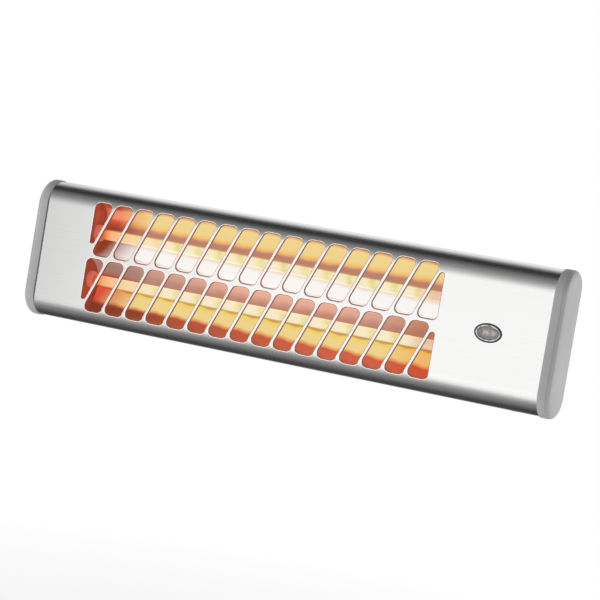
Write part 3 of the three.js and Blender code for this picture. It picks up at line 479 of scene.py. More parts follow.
# %% Lit reflector
PITCH = 21.6
OCHRE, MILK, BLUSH, ROSE, MAUVE, DUSK = "#D09A50", "#FAF8F5", "#F0E0D2", "#E6AC96", "#BC8070", "#C4AEA8"
STRAW, LEMON, HONEY, AMBER, ROAN = "#F2D78F", "#F1D464", "#E6AA68", "#F4C478", "#C48A74"
ORANGE, CORAL, TERRA = "#F4906A", "#DC543E", "#CC6048"
BRICK, EMBER, CINDER = "#B24A34", "#8C3C2A", "#945448"


def height_and_length(place):
    """Height and length in mm from the middle of the face."""
    moved = add_node(place.id_data, "VectorMath", {0: place, 1: tuple(-FACE)}, operation="ADD")
    split = add_node(place.id_data, "SeparateXYZ", {0: moved})
    return split.outputs["Z"], split.outputs["X"]


def lit_trough(name, cool_end, hot, reach, turn_at, lean):
    """Bands by height, for the cooler left end and for the rest. The line between them leans."""
    material, tree, shader, place = new_material(name, Metallic=1.0, Roughness=0.3, Emission_Strength=0.95,
                                                 Base_Color=linear("#3C2E26"))
    height, length = height_and_length(place)
    turn = add_node(tree, "Math", {0: length, 1: 2 * math.pi / PITCH}, operation="MULTIPLY")
    sway = add_node(tree, "Math", {0: turn}, operation="SINE")
    dipped = add_node(tree, "Math", {0: sway, 1: reach, 2: height}, operation="MULTIPLY_ADD")
    smear = noise(place, (0.1, 0.5, 0.5), 0.2)
    smeared = add_node(tree, "Math", {0: smear, 1: 2.0, 2: dipped}, operation="MULTIPLY_ADD")
    band = add_node(tree, "Math", {0: smeared, 1: 1.0}, operation="SUBTRACT")
    leaning = add_node(tree, "Math", {0: height, 1: -lean, 2: length}, operation="MULTIPLY_ADD")
    cool, starts = turn_at
    shown = shades(band, *hot)
    for share, over in ((shades(leaning, (cool, 1.0), (starts, 0.0)), shades(band, *cool_end)),
                        (shades(leaning, (cool - 16, 1.0), (cool - 6, 0.0)), linear(BRICK))):
        shown = add_node(tree, "Mix", {"Factor": share, 6: shown, 7: over}, data_type="RGBA").outputs[2]
    fill(shader, {"Emission Color": shown})
    return material, tree, shader, height, length, shown


upper_glow = lit_trough(
    "aluminium_lit_by_upper_tube",
    [(0.5, CINDER), (3, EMBER), (27, EMBER), (31, BRICK), (34.5, CORAL), (38, ORANGE), (44.3, ORANGE),
     (46.5, BRICK), (50, EMBER)],
    [(0.5, DUSK), (1.6, DUSK), (3.8, MILK), (12.5, MILK), (15.5, BLUSH), (20, ROSE), (25, MAUVE),
     (29.1, MAUVE), (30.4, ROAN), (31.8, HONEY), (33.6, AMBER), (36.5, STRAW), (46, STRAW),
     (47.8, HONEY), (49.2, TERRA), (50, BRICK)],
    reach=0.4, turn_at=(-198, -164), lean=0.27)[0]
lower_glow, tree, shader, height, length, shown = lit_trough(
    "aluminium_lit_by_lower_tube",
    [(-50, EMBER), (-44.5, EMBER), (-42, BRICK), (-38.5, CORAL), (-28.5, CORAL), (-26, EMBER),
     (-14, BRICK), (-9, CINDER), (-1, CINDER)],
    [(-50, BRICK), (-48, TERRA), (-45, TERRA), (-43.2, CORAL), (-41.2, HONEY), (-39.2, STRAW),
     (-33, STRAW), (-29, LEMON), (-27.8, OCHRE), (-26.5, OCHRE), (-24, BRICK), (-20, MAUVE),
     (-14.5, ROAN), (-8, ROSE), (-1, ROSE)],
    reach=0.7, turn_at=(-178, -136), lean=0.55)
# In the lower trough's painted glow, the top above about -12 mm turns a duller grey-rose towards both ends, a
# painted shade; the foot turns deep red near the left end, and the right end is warmer.
painted_shade_ends = shades(length, (-165, 0.8), (-140, 0.6), (-95, 0.3), (-50, 0.0), (50, 0.0), (135, 0.7))
painted_shade_top = add_node(tree, "Math", {0: painted_shade_ends, 1: shades(height, (-17, 0.0), (-12, 1.0))},
                    operation="MULTIPLY")
deep_left = shades(length, (-185, 0.9), (-150, 0.85), (-105, 0.45), (-40, 0.25), (40, 0.0))
deep_foot = add_node(tree, "Math", {0: deep_left, 1: shades(height, (-44, 1.0), (-41, 0.0))},
                     operation="MULTIPLY")
warm_end = shades(length, (92, "#FFFFFF"), (128, "#FFDFC8"))
for share, over, way in ((painted_shade_top, linear("#A2837A"), "MIX"), (deep_foot, linear("#7C3828"), "MIX"),
                         (1.0, warm_end, "MULTIPLY")):
    shown = add_node(tree, "Mix", {"Factor": share, 6: shown, 7: over}, data_type="RGBA",
                     blend_type=way).outputs[2]
fill(shader, {"Emission Color": shown})

plain_aluminium = grained("mill_finish_aluminium", 0.8, ((0.3, "#B4B6B8"), (0.7, "#CCCED0")),
                          ((0.3, 0.34), (0.7, 0.46)), (0.05, 1, 1), Metallic=1.0, Roughness=0.4)
print(upper_glow.name, lower_glow.name, plain_aluminium.name)

# %% [markdown]
# ## Burnished rims with a painted highlight
# The punch burnishes a narrow rim round each slot. The rim carries a painted highlight of the
# tubes' warm light as a pale pink glow, palest at the slots' upper and lower ends.

# %% Rims with a painted highlight
rim_painted_highlight, tree, shader, place = new_material("rim_with_painted_warm_highlight", Metallic=0.7, Roughness=0.4,
                                                  Emission_Strength=0.55)
height, _ = height_and_length(place)
worn = noise(place, (1, 1, 1), 0.3)
PALEST_HIGHLIGHT, PINK_HIGHLIGHT = "#FFEBE0", "#D8B2A8"
# The emission colours below are the rims' painted highlight, palest near the slots' ends.
fill(shader, {
    "Base Color": shades(worn, (0.3, "#EFE0DA"), (0.7, "#FBF3EF")),
    "Emission Color": shades(height, (-52, PALEST_HIGHLIGHT), (-46, PALEST_HIGHLIGHT), (-44, PINK_HIGHLIGHT), (-4, PINK_HIGHLIGHT), (-3, PALEST_HIGHLIGHT),
                             (0, PALEST_HIGHLIGHT), (0.6, PINK_HIGHLIGHT), (44, PINK_HIGHLIGHT), (46, PALEST_HIGHLIGHT), (52, PALEST_HIGHLIGHT)),
})
print(rim_painted_highlight.name)

# %% [markdown]
# ## Hot quartz and hot wire
# At full heat the wire inside lights the quartz so evenly that the tube looks like a cream rod,
# orange where it cools towards its left end. Over that glow lie faint yellow-green patches that
# repeat once for each slot, a painted reflection of the ribs, and a painted shade of dark gold
# along its outer edge. The tube's shader is a glossy glass skin over the glow, and a small part
# of it is see-through, so that the wire's turns show as a fine mottling. The wire is
# iron-chromium alloy at orange-yellow heat.

# %% Quartz and wire
quartz, tree, shader, place = new_material("glowing_fused_quartz", clear=0.06, Roughness=0.1, IOR=1.46,
                                           Emission_Strength=0.96, Base_Color=linear("#2A2018"))
height, length = height_and_length(place)
# The wave repeats once per slot: a painted reflection of the ribs, mixed with noise.
lean = add_node(tree, "Math", {0: height, 1: 0.05, 2: 1.0}, operation="MULTIPLY_ADD")
beat = add_node(tree, "Math", {0: length, 1: 2 * math.pi / PITCH, 2: lean}, operation="MULTIPLY_ADD")
wave = add_node(tree, "Math", {0: beat}, operation="COSINE")
cloud = noise(place, (1, 1, 1), 0.12, 3.0, 0.6)
mottled = add_node(tree, "Math", {0: cloud, 1: 1.6, 2: wave}, operation="MULTIPLY_ADD")
rib_reflection_patches = shades(mottled, (-0.4, "#F9EAD2"), (0.405, "#F8ECC2"), (1.095, "#F6E8B8"), (1.624, "#F0E2A6"),
                 (1.9, "#E8DA98"))
shown = shades(length, (-202, "#8C2C14"), (-194, "#D85A34"), (-189.5, "#FA9460"), (-185, "#F8B680"),
               (-168, "#FAD49E"), (-145, "#F9DCAC"))
right_end = shades(cloud, (0.3, "#E8C09C"), (0.7, "#F0CCB4"))
# The outer edge of each tube is darkened to dark gold: a painted shade.
outward = add_node(tree, "Math", {0: height}, operation="ABSOLUTE")
painted_edge_shade = shades(outward, (24.9, "#FFFFFF"), (26.1, "#AE8648"))
for share, over, way in ((shades(length, (-165, 0.0), (-125, 1.0)), rib_reflection_patches, "MIX"),
                         (shades(length, (118, 0.0), (136, 1.0)), right_end, "MIX"),
                         (1.0, painted_edge_shade, "MULTIPLY")):
    shown = add_node(tree, "Mix", {"Factor": share, 6: shown, 7: over}, data_type="RGBA",
                     blend_type=way).outputs[2]
fill(shader, {"Emission Color": shown})

hot_wire, tree, shader, place = new_material("glowing_resistance_wire", Metallic=0.6, Roughness=0.5,
                                             Emission_Strength=1.0, Base_Color=linear("#7A4A34"))
_, length = height_and_length(place)
fill(shader, {"Emission Color": shades(length, (-208, "#5A2418"), (-198, "#C84420"), (-186, "#F89448"),
                                       (-170, "#FCD080"))})
print(quartz.name, hot_wire.name)

# %% [markdown]
# ## Ceramic, brass, sleeves and screws
# The tubes' end fittings and the terminal block are unglazed steatite, cream and a little
# speckled. Studs and the earth screw are turned brass, leads wear a woven glass-fibre sleeve with
# ribs a millimetre apart, and the screws are dark passivated steel with fine turning marks.

# %% Small fittings' finishes
steatite = grained("unglazed_steatite", 1.5, ((0.3, "#CFC6B2"), (0.45, "#E4DCCB"), (0.7, "#EFE9DC")),
                   detail=4.0, rough=0.7, bump=0.03, Roughness=0.7, IOR=1.6)
brass = grained("turned_brass", 1.0, ((0.3, "#B8924A"), (0.6, "#D8B468")), ((0.3, 0.24), (0.7, 0.4)),
                (4, 0.4, 0.4), Metallic=1.0, Roughness=0.3)
dark_steel = grained("passivated_screw_steel", 1.0, ((0.3, "#6A6E72"), (0.7, "#8E9296")),
                     ((0.3, 0.3), (0.7, 0.5)), (3, 0.5, 3), Metallic=1.0, Roughness=0.38)

sleeve, tree, shader, place = new_material("woven_glass_fibre_sleeve", Roughness=0.8)
weave = add_node(tree, "TexWave", {"Vector": place, "Scale": 0.5, "Distortion": 2.0, "Detail": 2.0},
                 bands_direction="DIAGONAL").outputs["Fac"]
fill(shader, {
    "Base Color": shades(weave, (0.2, "#B4AC98"), (0.8, "#DDD6C4")),
    "Normal": add_node(tree, "Bump", {"Height": weave, "Distance": 0.12 * MM}),
})
print(steatite.name, brass.name, sleeve.name, dark_steel.name)

# %% [markdown]
# ## The lamp's plastics
# The indicator has a smoky lens that catches grey light on its bevels and lets most of what is
# behind it through. Round it runs a bright trim, silvery in places and grey in others. Behind it
# stands a small glow lamp of pale glass with a bent wire that shines a faint dark pink.

# %% Lamp finishes
lens_plastic = grained("smoky_polycarbonate", 0.35, ((0.3, "#BCBABB"), (0.7, "#D8D5D6")), clear=0.7,
                       Roughness=0.12, IOR=1.58)
trim_chrome = grained("bright_chrome_on_ABS", 0.2, ((0.38, "#969696"), (0.6, "#E4E4E4")), Metallic=1.0,
                      Roughness=0.18)
neon_glass = grained("glow_lamp_glass", 0.4, ((0.3, "#CAC4C4"), (0.7, "#DAD4D4")), Roughness=0.2,
                     Emission_Strength=0.25, Emission_Color=linear("#D0BCBC"))
neon_wire = grained("glow_lamp_electrode", 0.9, ((0.3, "#6E1028"), (0.7, "#7E1A34")), Roughness=0.5,
                    Emission_Strength=0.3, Emission_Color=linear("#8C3048"))
print(lens_plastic.name, trim_chrome.name, neon_glass.name, neon_wire.name)

# %% [markdown]
# ## Ceramics and plates in the glow
# The plates at the ends of the troughs, and the ceramics in them, stand in the tubes' red light.
# They would take very many light paths to turn that colour, so they carry a dull red glow of
# their own over zinc and steatite.

# %% Red-lit end fittings
lit_plate, tree, shader, place = new_material("zinc_plate_in_red_light", Metallic=1.0, Roughness=0.45,
                                              Emission_Strength=0.9, Base_Color=linear("#4A3A34"))
patch = noise(place, (1, 1, 0.6), 0.09)
fill(shader, {"Emission Color": shades(patch, (0.3, "#8E341E"), (0.5, "#9E3E2A"), (0.7, "#B24C36"))})

lit_steatite, tree, shader, place = new_material("steatite_in_red_light", Roughness=0.7, IOR=1.6,
                                                 Emission_Strength=0.8)
speck = noise(place, (1, 1, 1), 1.0, 4.0, 0.7)
fill(shader, {
    "Base Color": shades(speck, (0.3, "#8A6A5E"), (0.7, "#A07E70")),
    "Emission Color": shades(speck, (0.3, "#B8503E"), (0.7, "#D86C5A")),
    "Normal": add_node(tree, "Bump", {"Height": speck, "Distance": 0.03 * MM}),
})
print(lit_plate.name, lit_steatite.name)

# %% [markdown]
# ## Dressing a piece
# A finished piece gets its material, rides on the body that its CAD node rides on, and takes that
# node's place. One function does all of it, and reads the body from the record. Its first half
# also serves the two extra pieces of the lamp, which take no node's place.

# %% Dress
record = frame["record"]
slot_of = {part["node"]: part["material_slot"] for part in record["subparts"]}
body_of = {node: body for body, nodes in record["behaviour"]["bodies"].items() for node in nodes}


def equip(piece, material, body):
    if not piece.data.materials:
        piece.data.materials.append(material)
    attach(piece, body)
    tell(piece)


def dress(piece, material, node):
    equip(piece, material, body_of[node])
    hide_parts(node)


print(len(slot_of), "CAD nodes to dress")

# %% [markdown]
# ## The slotted front
# The real front is one sheet, rolled round at the top and bottom, with strips turned in along the
# back. A block is the quickest start: its long edges are bevelled, its ends and the middle of its
# back are deleted, and Solidify gives it the sheet's thickness. Rolled sheet bends softly into its
# radius, so the front bevel is a little wider than the 20 mm radius, with a fuller profile.

# %% Rolled sheet
HEIGHT, DEPTH = 125, 34.5
SHEET_END, LIP_EDGE = 256.5, 248.7
STRIP_EDGE = 37.5  # how far from the middle the strips at the back begin

front = block("front_sheet", (-SHEET_END, 0, -HEIGHT / 2), (SHEET_END, DEPTH, HEIGHT / 2))
bevel(front, "EDGE", lambda at, way: abs(way.x) > 0.9 and at.y < 1, 21.4, 27, profile=0.527)
bevel(front, "EDGE", lambda at, way: abs(way.x) > 0.9 and at.y > DEPTH - 1, 13, 14)
for edge_z in (STRIP_EDGE, -STRIP_EDGE):
    choose(front, "FACE", lambda at, way: way.y > 0.99)
    bpy.ops.mesh.bisect(plane_co=spot(0, 0, edge_z), plane_no=(0, 0, 1))
choose(front, "FACE", lambda at, way: abs(way.x) > 0.9 or (way.y > 0.99 and abs(at.z) < STRIP_EDGE))
bpy.ops.mesh.delete(type="FACE")
turned_in = copy_of(front, "turned_in_edges")
modify(front, "SOLIDIFY", thickness=1 * MM, offset=-1)
tell(front)

# %% [markdown]
# ## The slots
# Each slot is a leaning cell with rounded corners. The cutter starts as a small block; its four
# upright edges are moved to the slot's corners and bevelled, the sharp corners further than the
# blunt ones, so that all have the same radius. An array makes the row, and the cut-off end
# slots are made on their own. The slots' edges are turned in behind the face. A second layer of
# the same rolled sheet, cut with slightly smaller slots, shows as a fine dark line all round.

# %% Slot cutters
SLOTS_LEFT, RIB, ROW, BAR, COUNT = -198.9, 2.6, 48.7, 2.6, 16
SLANT = PITCH / (ROW + BAR)
SLOTS_RIGHT = SLOTS_LEFT + COUNT * PITCH + RIB
CORNER, TIP = 5.4, 4.3  # the corners' radius, and the width left at the tip of a cut-off slot


def rib_at(rib, z):
    return SLOTS_LEFT + RIB / 4 + rib * PITCH + SLANT * z


def slot_corners(index, low, high, first):
    def left(z):
        return SLOTS_LEFT if index == 0 else rib_at(first + index - 1, z) + RIB / 2

    def right(z):
        return SLOTS_RIGHT if index == COUNT else rib_at(first + index, z) - RIB / 2

    if index == 0:
        low += max(0, (TIP - (right(low) - left(low))) / SLANT)
    if index == COUNT:
        high -= max(0, (TIP - (right(high) - left(high))) / SLANT)
    return [(left(low), low), (right(low), low), (right(high), high), (left(high), high)]


def drawn_in(points, inset):
    """The corners of the same slot, smaller by an inset on every side."""
    moved = []
    for i, point in enumerate(points):
        one, other = (point - points[i - 1]).normalized(), (points[(i + 1) % 4] - point).normalized()
        one, other = Vector((-one.y, one.x)), Vector((-other.y, other.x))
        moved.append(point + (one + other) * inset / (1 + one.dot(other)))
    return moved


def slot_cutter(name, corners, inset):
    tool = block(name, (-1, -3, -1), (1, 9, 1))
    points = drawn_in([Vector(corner) for corner in corners], inset)
    for (sx, sz), (x, z) in zip([(-1, -1), (1, -1), (1, 1), (-1, 1)], points):
        choose(tool, "VERT", lambda at, way: abs(at.x - sx) < 0.01 and abs(at.z - sz) < 0.01)
        bpy.ops.transform.translate(value=((x - sx) * MM, 0, (z - sz) * MM))
    for i, point in enumerate(points):
        before, after = points[i - 1] - point, points[(i + 1) % 4] - point
        wanted = (CORNER - inset) / math.tan(before.angle(after) / 2)
        room = 0.47 * min(before.length, after.length)
        bevel(tool, "EDGE", lambda at, way: abs(way.y) > 0.9 and (at.xz - point).length < 0.3,
              min(wanted, room), 8, clamp_overlap=False)
    return tool


def slot_rows(inset=0.0):
    cutters = []
    half = BAR / 2
    for row, low, high, first in (("upper", half, half + ROW, 0), ("lower", -half - ROW, -half, 1)):
        for index in (0, 1, COUNT):
            tool = slot_cutter(f"{row}_slot_{index}", slot_corners(index, low, high, first), inset)
            if index == 1:
                repeat(tool, COUNT - 1, PITCH)
            cutters.append(tool)
    return join(cutters)


slots = slot_rows()
tell(slots)

# %% Cutting the front
RADIUS, FLAT = 20, 42.5  # the sheet's radius, and the height at which it starts


def among_slots(at):
    return SLOTS_LEFT - 1 < at.x < SLOTS_RIGHT + 1


cut(front, slots)
choose(front, "EDGE", lambda at, way: False)
bpy.ops.mesh.edges_select_sharp(sharpness=math.radians(50))
enter("OBJECT")
for edge in front.data.edges:
    one, other = (front.data.vertices[i].co / MM - FACE for i in edge.vertices)
    at = (one + other) / 2
    rolled = max(0, abs(at.z) - FLAT)
    face_depth = RADIUS - math.sqrt(RADIUS ** 2 - rolled ** 2) if abs(at.z) < 51 else -9
    edge.select = edge.select and among_slots(at) and at.y < face_depth + 0.6
enter("EDIT")
bpy.ops.mesh.bevel(offset=0.6 * MM, segments=3, affect="EDGES", clamp_overlap=False)
enter("OBJECT")
tell(front)

# %% Rims and punched edges
for finish in (brushed_steel, punched_edge_painted_glow, rim_painted_highlight):
    front.data.materials.append(finish)


def slanting(at, way):
    """How far a face turns away from the sheet, which is flat in the middle and then rolled."""
    turned = math.asin(min(0.9, max(0, abs(at.z) - 42.0) / 21))
    return way.dot(Vector((0, -math.cos(turned), math.copysign(math.sin(turned), at.z))))


def on_rim(at, way):
    """True on a slot's rim, but not on its sides where the sheet rolls back."""
    steep = math.sqrt(max(0, 1 - slanting(at, way) ** 2))
    return abs(at.z) < 46 or abs(way.x) < 0.7 * steep


# Faces round the slots take the punched edges' painted glow, and on the rims the painted highlight.
for index, low, high in ((1, -2, 0.5), (2, 0.5, 0.985)):
    paint_faces(front, index, lambda at, way: among_slots(at) and abs(at.z) < 52 and at.y < 3
                and low <= slanting(at, way) < high and abs(way.x) + abs(way.z) > 0.05
                and (index == 1 or on_rim(at, way)))
print(front.name, "has", len(front.data.materials), "materials")

# %% Turned-in edges
for where, way in (((0, 0, 52), (0, 0, 1)), ((0, 0, -52), (0, 0, -1)), ((0, 10, 0), (0, 1, 0)),
                   ((SLOTS_LEFT - 1.6, 0, 0), (-1, 0, 0)), ((SLOTS_RIGHT + 1.6, 0, 0), (1, 0, 0))):
    open_all(turned_in)
    bpy.ops.mesh.bisect(plane_co=spot(*where), plane_no=way, clear_outer=True)
modify(turned_in, "SOLIDIFY", thickness=0.7 * MM, offset=-3.92)
cut(turned_in, slot_rows(0.55))
turned_in.data.materials.append(punched_edge_painted_glow)
tell(turned_in)

# %% Holes and finish of the front
LAMP_X, LAMP_Z = 196.5, -0.7
LEVER_X, LEVER_DEPTH = 225, 20.5
cut(front, ringed("lamp_hole", [(11.1, 6.9, -4), (11.1, 6.9, 4)], "y", (LAMP_X, 0, LAMP_Z)))
bored(front, 4.1, "z", (LEVER_X, LEVER_DEPTH, -HEIGHT / 2))
for x in (-150, 150):
    for z in (-42.5, 42.5):
        bored(front, 1.9, "y", (x, DEPTH, z), sides=16)
front = join([front, turned_in])
smooth(front, 32)
modify(front, "WEIGHTED_NORMAL", keep_sharp=True, weight=90)
dress(front, brushed_steel, "front_housing")

# %% [markdown]
# ## The end caps
# Each cap is a shallow tray that slips over the sheet's end, with a lip over the face and a
# slightly domed end. A block is bevelled to the sheet's radii. Its outer face is extruded step by
# step. Front to back it gets narrower, wider and narrower again, which leaves a soft groove along
# the front and the back, while over the top and bottom it only tapers. Then it is inset and
# lifted for the dome, and Solidify hollows it. The same steps run for both ends with the sign of
# x changed, so neither has to be mirrored.

# %% End caps
CAP_END, CAP_HALF, CAP_LIP = 255.0, 63.3, 1.5
STILL = 30.4  # the depth that stays where it is while the steps get narrower
CAP_STEPS = [  # narrower by, lower by and further out by, in mm
    (0.1, 0.05, 0.5), (0.3, 0.1, 0.45), (0.35, 0.15, 0.45), (0.3, 0.2, 0.45), (0.0, 0.25, 0.45),
    (-0.1, 0.3, 0.4), (0.05, 0.4, 0.4), (0.45, 0.6, 0.5), (1.0, 0.95, 0.5), (1.7, 1.15, 0.4),
]


def end_cap(name, side):
    left, right = sorted((side * LIP_EDGE, side * CAP_END))
    cap = block(name, (left, -CAP_LIP, -CAP_HALF), (right, DEPTH + CAP_LIP, CAP_HALF))
    bevel(cap, "EDGE", lambda at, way: abs(way.x) > 0.9 and at.y < 0, 22.2, 24)
    bevel(cap, "EDGE", lambda at, way: abs(way.x) > 0.9 and at.y > DEPTH, 15.0, 18)
    choose(cap, "FACE", lambda at, way: side * way.x < -0.9)
    bpy.ops.mesh.delete(type="FACE")
    choose(cap, "FACE", lambda at, way: side * way.x > 0.9)
    for narrower, lower, lift in CAP_STEPS:
        extrude(x=side * lift)
        kept = (1, 1 - narrower / (STILL + CAP_LIP), 1 - lower / CAP_HALF)
        bpy.ops.transform.resize(value=kept, center_override=spot(0, STILL, 0))
    for shrink, lift in ((1.4, 0.25), (2.0, 0.15), (4.0, 0.06)):
        bpy.ops.mesh.inset(thickness=shrink * MM, depth=0)
        bpy.ops.transform.translate(value=(side * lift * MM, 0, 0))
    modify(cap, "SOLIDIFY", thickness=0.9 * MM, offset=-1)
    ease(cap, 0.3, segments=3, angle=60)
    return smooth(cap, 50)


for side, end in ((-1, "left"), (1, "right")):
    dress(end_cap(f"{end}_cap", side), grey_plastic, f"{end}_end_cap")

# %% [markdown]
# ## Troughs behind the slots
# A reflector is a strip of bright aluminium rolled to a half round, with its long edges folded
# forward. An open cylinder is cut down to the rear half, its edges are extruded towards the face
# for the fold, and Solidify gives it 0.6 mm. Only its hollow side is lit; its back stays plain.

# %% Reflectors
MIDDLE = (SLOTS_LEFT + SLOTS_RIGHT) / 2
TROUGH_HALF, TROUGH_RADIUS, TROUGH_DEPTH = 176.5, 24.9, 6.2


def trough(name, z, glow):
    clear()
    bpy.ops.mesh.primitive_cylinder_add(
        vertices=96, radius=TROUGH_RADIUS * MM, depth=2 * TROUGH_HALF * MM, end_fill_type="NOTHING",
        location=spot(MIDDLE, TROUGH_DEPTH, z), rotation=LAID["x"])
    piece = settle(named(name))
    choose(piece, "VERT", lambda at, way: at.y < TROUGH_DEPTH - 0.1)
    bpy.ops.mesh.delete(type="VERT")
    choose(piece, "EDGE", lambda at, way: abs(way.x) > 0.9 and at.y < TROUGH_DEPTH + 0.2)
    extrude(depth=-0.5)
    tidy(piece)
    open_all(piece)
    bpy.ops.mesh.flip_normals()
    modify(piece, "SOLIDIFY", thickness=0.6 * MM, offset=-1)
    for finish in (glow, plain_aluminium):
        piece.data.materials.append(finish)
    paint_faces(piece, 1, lambda at, way: way.y * (at.y - TROUGH_DEPTH) + way.z * (at.z - z) > 0)
    return smooth(piece)


dress(trough("upper_trough", 26.7, upper_glow), upper_glow, "upper_reflector")
dress(trough("lower_trough", -26.7, lower_glow), lower_glow, "lower_reflector")

# %% [markdown]
# ## Tubes and coils
# A tube is drawn ring by ring, with its fire-rounded ends. The coil inside is made with the Screw
# modifier: a small ring of wire is swept along the tube while it turns, 2.4 mm for each turn.

# %% Tubes and coils
TUBE_HALF, TUBE_DEPTH = 182.0, 18


def tube(name, z):
    rings = [(4.2, 0.3 - TUBE_HALF), (4.6, -TUBE_HALF), (5.0, 0.5 - TUBE_HALF), (5.0, TUBE_HALF - 0.5),
             (4.6, TUBE_HALF), (4.2, TUBE_HALF - 0.3), (3.9, TUBE_HALF - 0.6), (3.9, 0.6 - TUBE_HALF),
             (4.2, 0.3 - TUBE_HALF)]
    return smooth(ringed(name, rings, "x", (MIDDLE, TUBE_DEPTH, z), capped=False), 60)


def coil(name, middle, axis="x", turns=138, pitch=2.4, radius=2.8, wire=0.55):
    clear()
    bpy.ops.mesh.primitive_circle_add(vertices=6, radius=wire * MM, location=(radius * MM, 0, 0),
                                      rotation=(math.pi / 2, 0, 0))
    piece = settle(named(name))
    modify(piece, "SCREW", axis="Z", angle=2 * math.pi, screw_offset=pitch * MM, iterations=turns,
           steps=12, render_steps=12, use_merge_vertices=False)
    piece.location = (0, 0, -turns * pitch * MM / 2)
    settle(piece)
    piece.rotation_euler = LAID[axis]
    piece.location = middle
    settle(piece)
    return smooth(tidy(piece), 60)


for row, z in (("upper", 21.5), ("lower", -21.5)):
    dress(tube(f"{row}_tube", z), quartz, f"{row}_quartz_tube")
    dress(coil(f"{row}_coil", spot(MIDDLE, TUBE_DEPTH, z)), hot_wire, f"{row}_heating_coil")

# %% [markdown]
# ## The indicator lamp
# An oval ring of dark plastic sits in the face. Inside it runs a bright trim, and the lens has a
# flat middle with bevels all round. All three are drawn ring by ring from ovals. Behind the lens
# lies a small glow lamp, and its bent wire is a disc that is extruded from corner to corner.

# %% Lamp
def lamp_piece(name, rings, angle=40, sides=64, capped=False):
    return smooth(ringed(name, rings, "y", (LAMP_X, 0, LAMP_Z), sides, capped), angle)


ring_profile = [(12.4, 8.2, -0.3), (12.4, 8.2, -0.7), (12.15, 7.95, -1.1), (11.6, 7.4, -1.15),
                (11.3, 7.1, -0.95), (11.25, 7.05, -0.55), (10.75, 6.55, -0.5), (10.7, 6.5, 12.0),
                (10.9, 6.6, 12.0), (10.95, 6.7, -0.3), (12.4, 8.2, -0.3)]
dress(lamp_piece("lamp_ring", ring_profile), dark_plastic, "lamp_bezel")
trim_profile = [(11.15, 6.95, -0.6), (11.05, 6.85, -0.85), (10.8, 6.6, -0.95), (10.2, 6.0, -0.92),
                (9.9, 5.7, -0.8), (9.8, 5.6, -0.2), (9.8, 5.6, 1.4), (10.6, 6.4, 1.4),
                (10.65, 6.45, -0.55), (11.15, 6.95, -0.6)]
equip(lamp_piece("lamp_trim", trim_profile), trim_chrome, "heater")
lens_profile = [(9.75, 5.55, 1.2), (9.75, 5.55, -0.62), (8.7, 4.7, -0.92), (8.3, 4.3, -1.0)]
dress(lamp_piece("lamp_window", lens_profile, 20, 12, True), lens_plastic, "lamp_lens")

# %% Glow lamp
bulb_rings = [(1.2, -6.0), (2.4, -5.6), (2.5, -4.8), (2.5, 3.6), (2.1, 5.0), (1.1, 5.8), (0.3, 6.0)]
dress(smooth(ringed("glow_bulb", bulb_rings, "x", (LAMP_X, 4.5, LAMP_Z), 32), 60), neon_glass, "neon_lamp")
zigzag = [(-0.9, 4.0), (2.3, 2.7), (0.0, 1.2), (1.9, -0.4), (-0.2, -2.3)]
clear()
bpy.ops.mesh.primitive_circle_add(vertices=8, radius=0.75 * MM, fill_type="NGON",
                                  location=spot(LAMP_X + zigzag[0][0], 2.0, LAMP_Z + zigzag[0][1]))
electrode = settle(named("glow_electrode"))
open_all(electrode)
for (x0, z0), (x1, z1) in zip(zigzag, zigzag[1:]):
    extrude(x=x1 - x0, z=z1 - z0)
equip(smooth(tidy(electrode), 60), neon_wire, "heater")

# %% [markdown]
# ## The rear panel
# A flat plate closes the back, with two rows of long vents. The plate is a thin block with a
# slight bevel, and the vents are cut with one rounded cutter, copied along by an array.

# %% Rear panel
GLAND_X, GLAND_Z = 185, -10
VENTS, VENT_STEP, VENT_HALF = 6, 46, 12
first_vent = MIDDLE - VENT_STEP * (VENTS - 1) / 2

panel = block("back_panel", (-248.4, 34.8, -47.5), (248.4, 35.8, 47.5))
vents = []
for z in (-28, 28):
    vent = block("vent", (first_vent - VENT_HALF, 33, z - 1.6), (first_vent + VENT_HALF, 38, z + 1.6))
    bevel(vent, "EDGE", lambda at, way: abs(way.y) > 0.9, 1.59, 8)
    repeat(vent, VENTS, VENT_STEP)
    vents.append(vent)
cut(panel, join(vents))
bored(panel, 6.3, "y", (GLAND_X, 35.3, GLAND_Z), sides=40)
ease(panel, 0.2)
dress(smooth(panel, 40), zinc_steel, "rear_panel")

# %% [markdown]
# ## The wall bracket
# One strip of steel lies on the wall and its ends are bent forward into two ears that hold the
# pivots. The strip is a flat sheet whose ends are extruded forward in three steps, which narrow
# the ears. The bends are bevelled edges, the ears' tips are bevelled to a half round, and Solidify
# makes the sheet 2 mm thick. Then the keyholes for the wall screws and the pivot holes are cut.

# %% Bracket
EAR, PIVOT_Z, PIVOT_DEPTH, KEYHOLE = 248.8, 29, 52, 190
STRIP_HIGH, EAR_HIGH = 36, 24

clear()
bpy.ops.mesh.primitive_plane_add(size=1, location=spot(0, 70, PIVOT_Z), rotation=(math.pi / 2, 0, 0))
bracket = named("bracket_strip")
bracket.scale = (2 * EAR * MM, STRIP_HIGH * MM, 1)
settle(bracket)
choose(bracket, "EDGE", lambda at, way: abs(way.z) > 0.9)
for reach, narrowing in ((6, 1), (12, EAR_HIGH / STRIP_HIGH), (12, 1)):
    extrude(depth=-reach)
    bpy.ops.transform.resize(value=(1, 1, narrowing), center_override=spot(0, 0, PIVOT_Z))
bevel(bracket, "EDGE", lambda at, way: abs(way.z) > 0.9 and at.y > 69, 2.2, 8)
bevel(bracket, "VERT", lambda at, way: at.y < 41, EAR_HIGH / 2 - 0.05, 12)
tidy(bracket)
facing = sum(face.normal.y * face.area for face in bracket.data.polygons)
modify(bracket, "SOLIDIFY", thickness=2 * MM, offset=-1 if facing > 0 else 1)
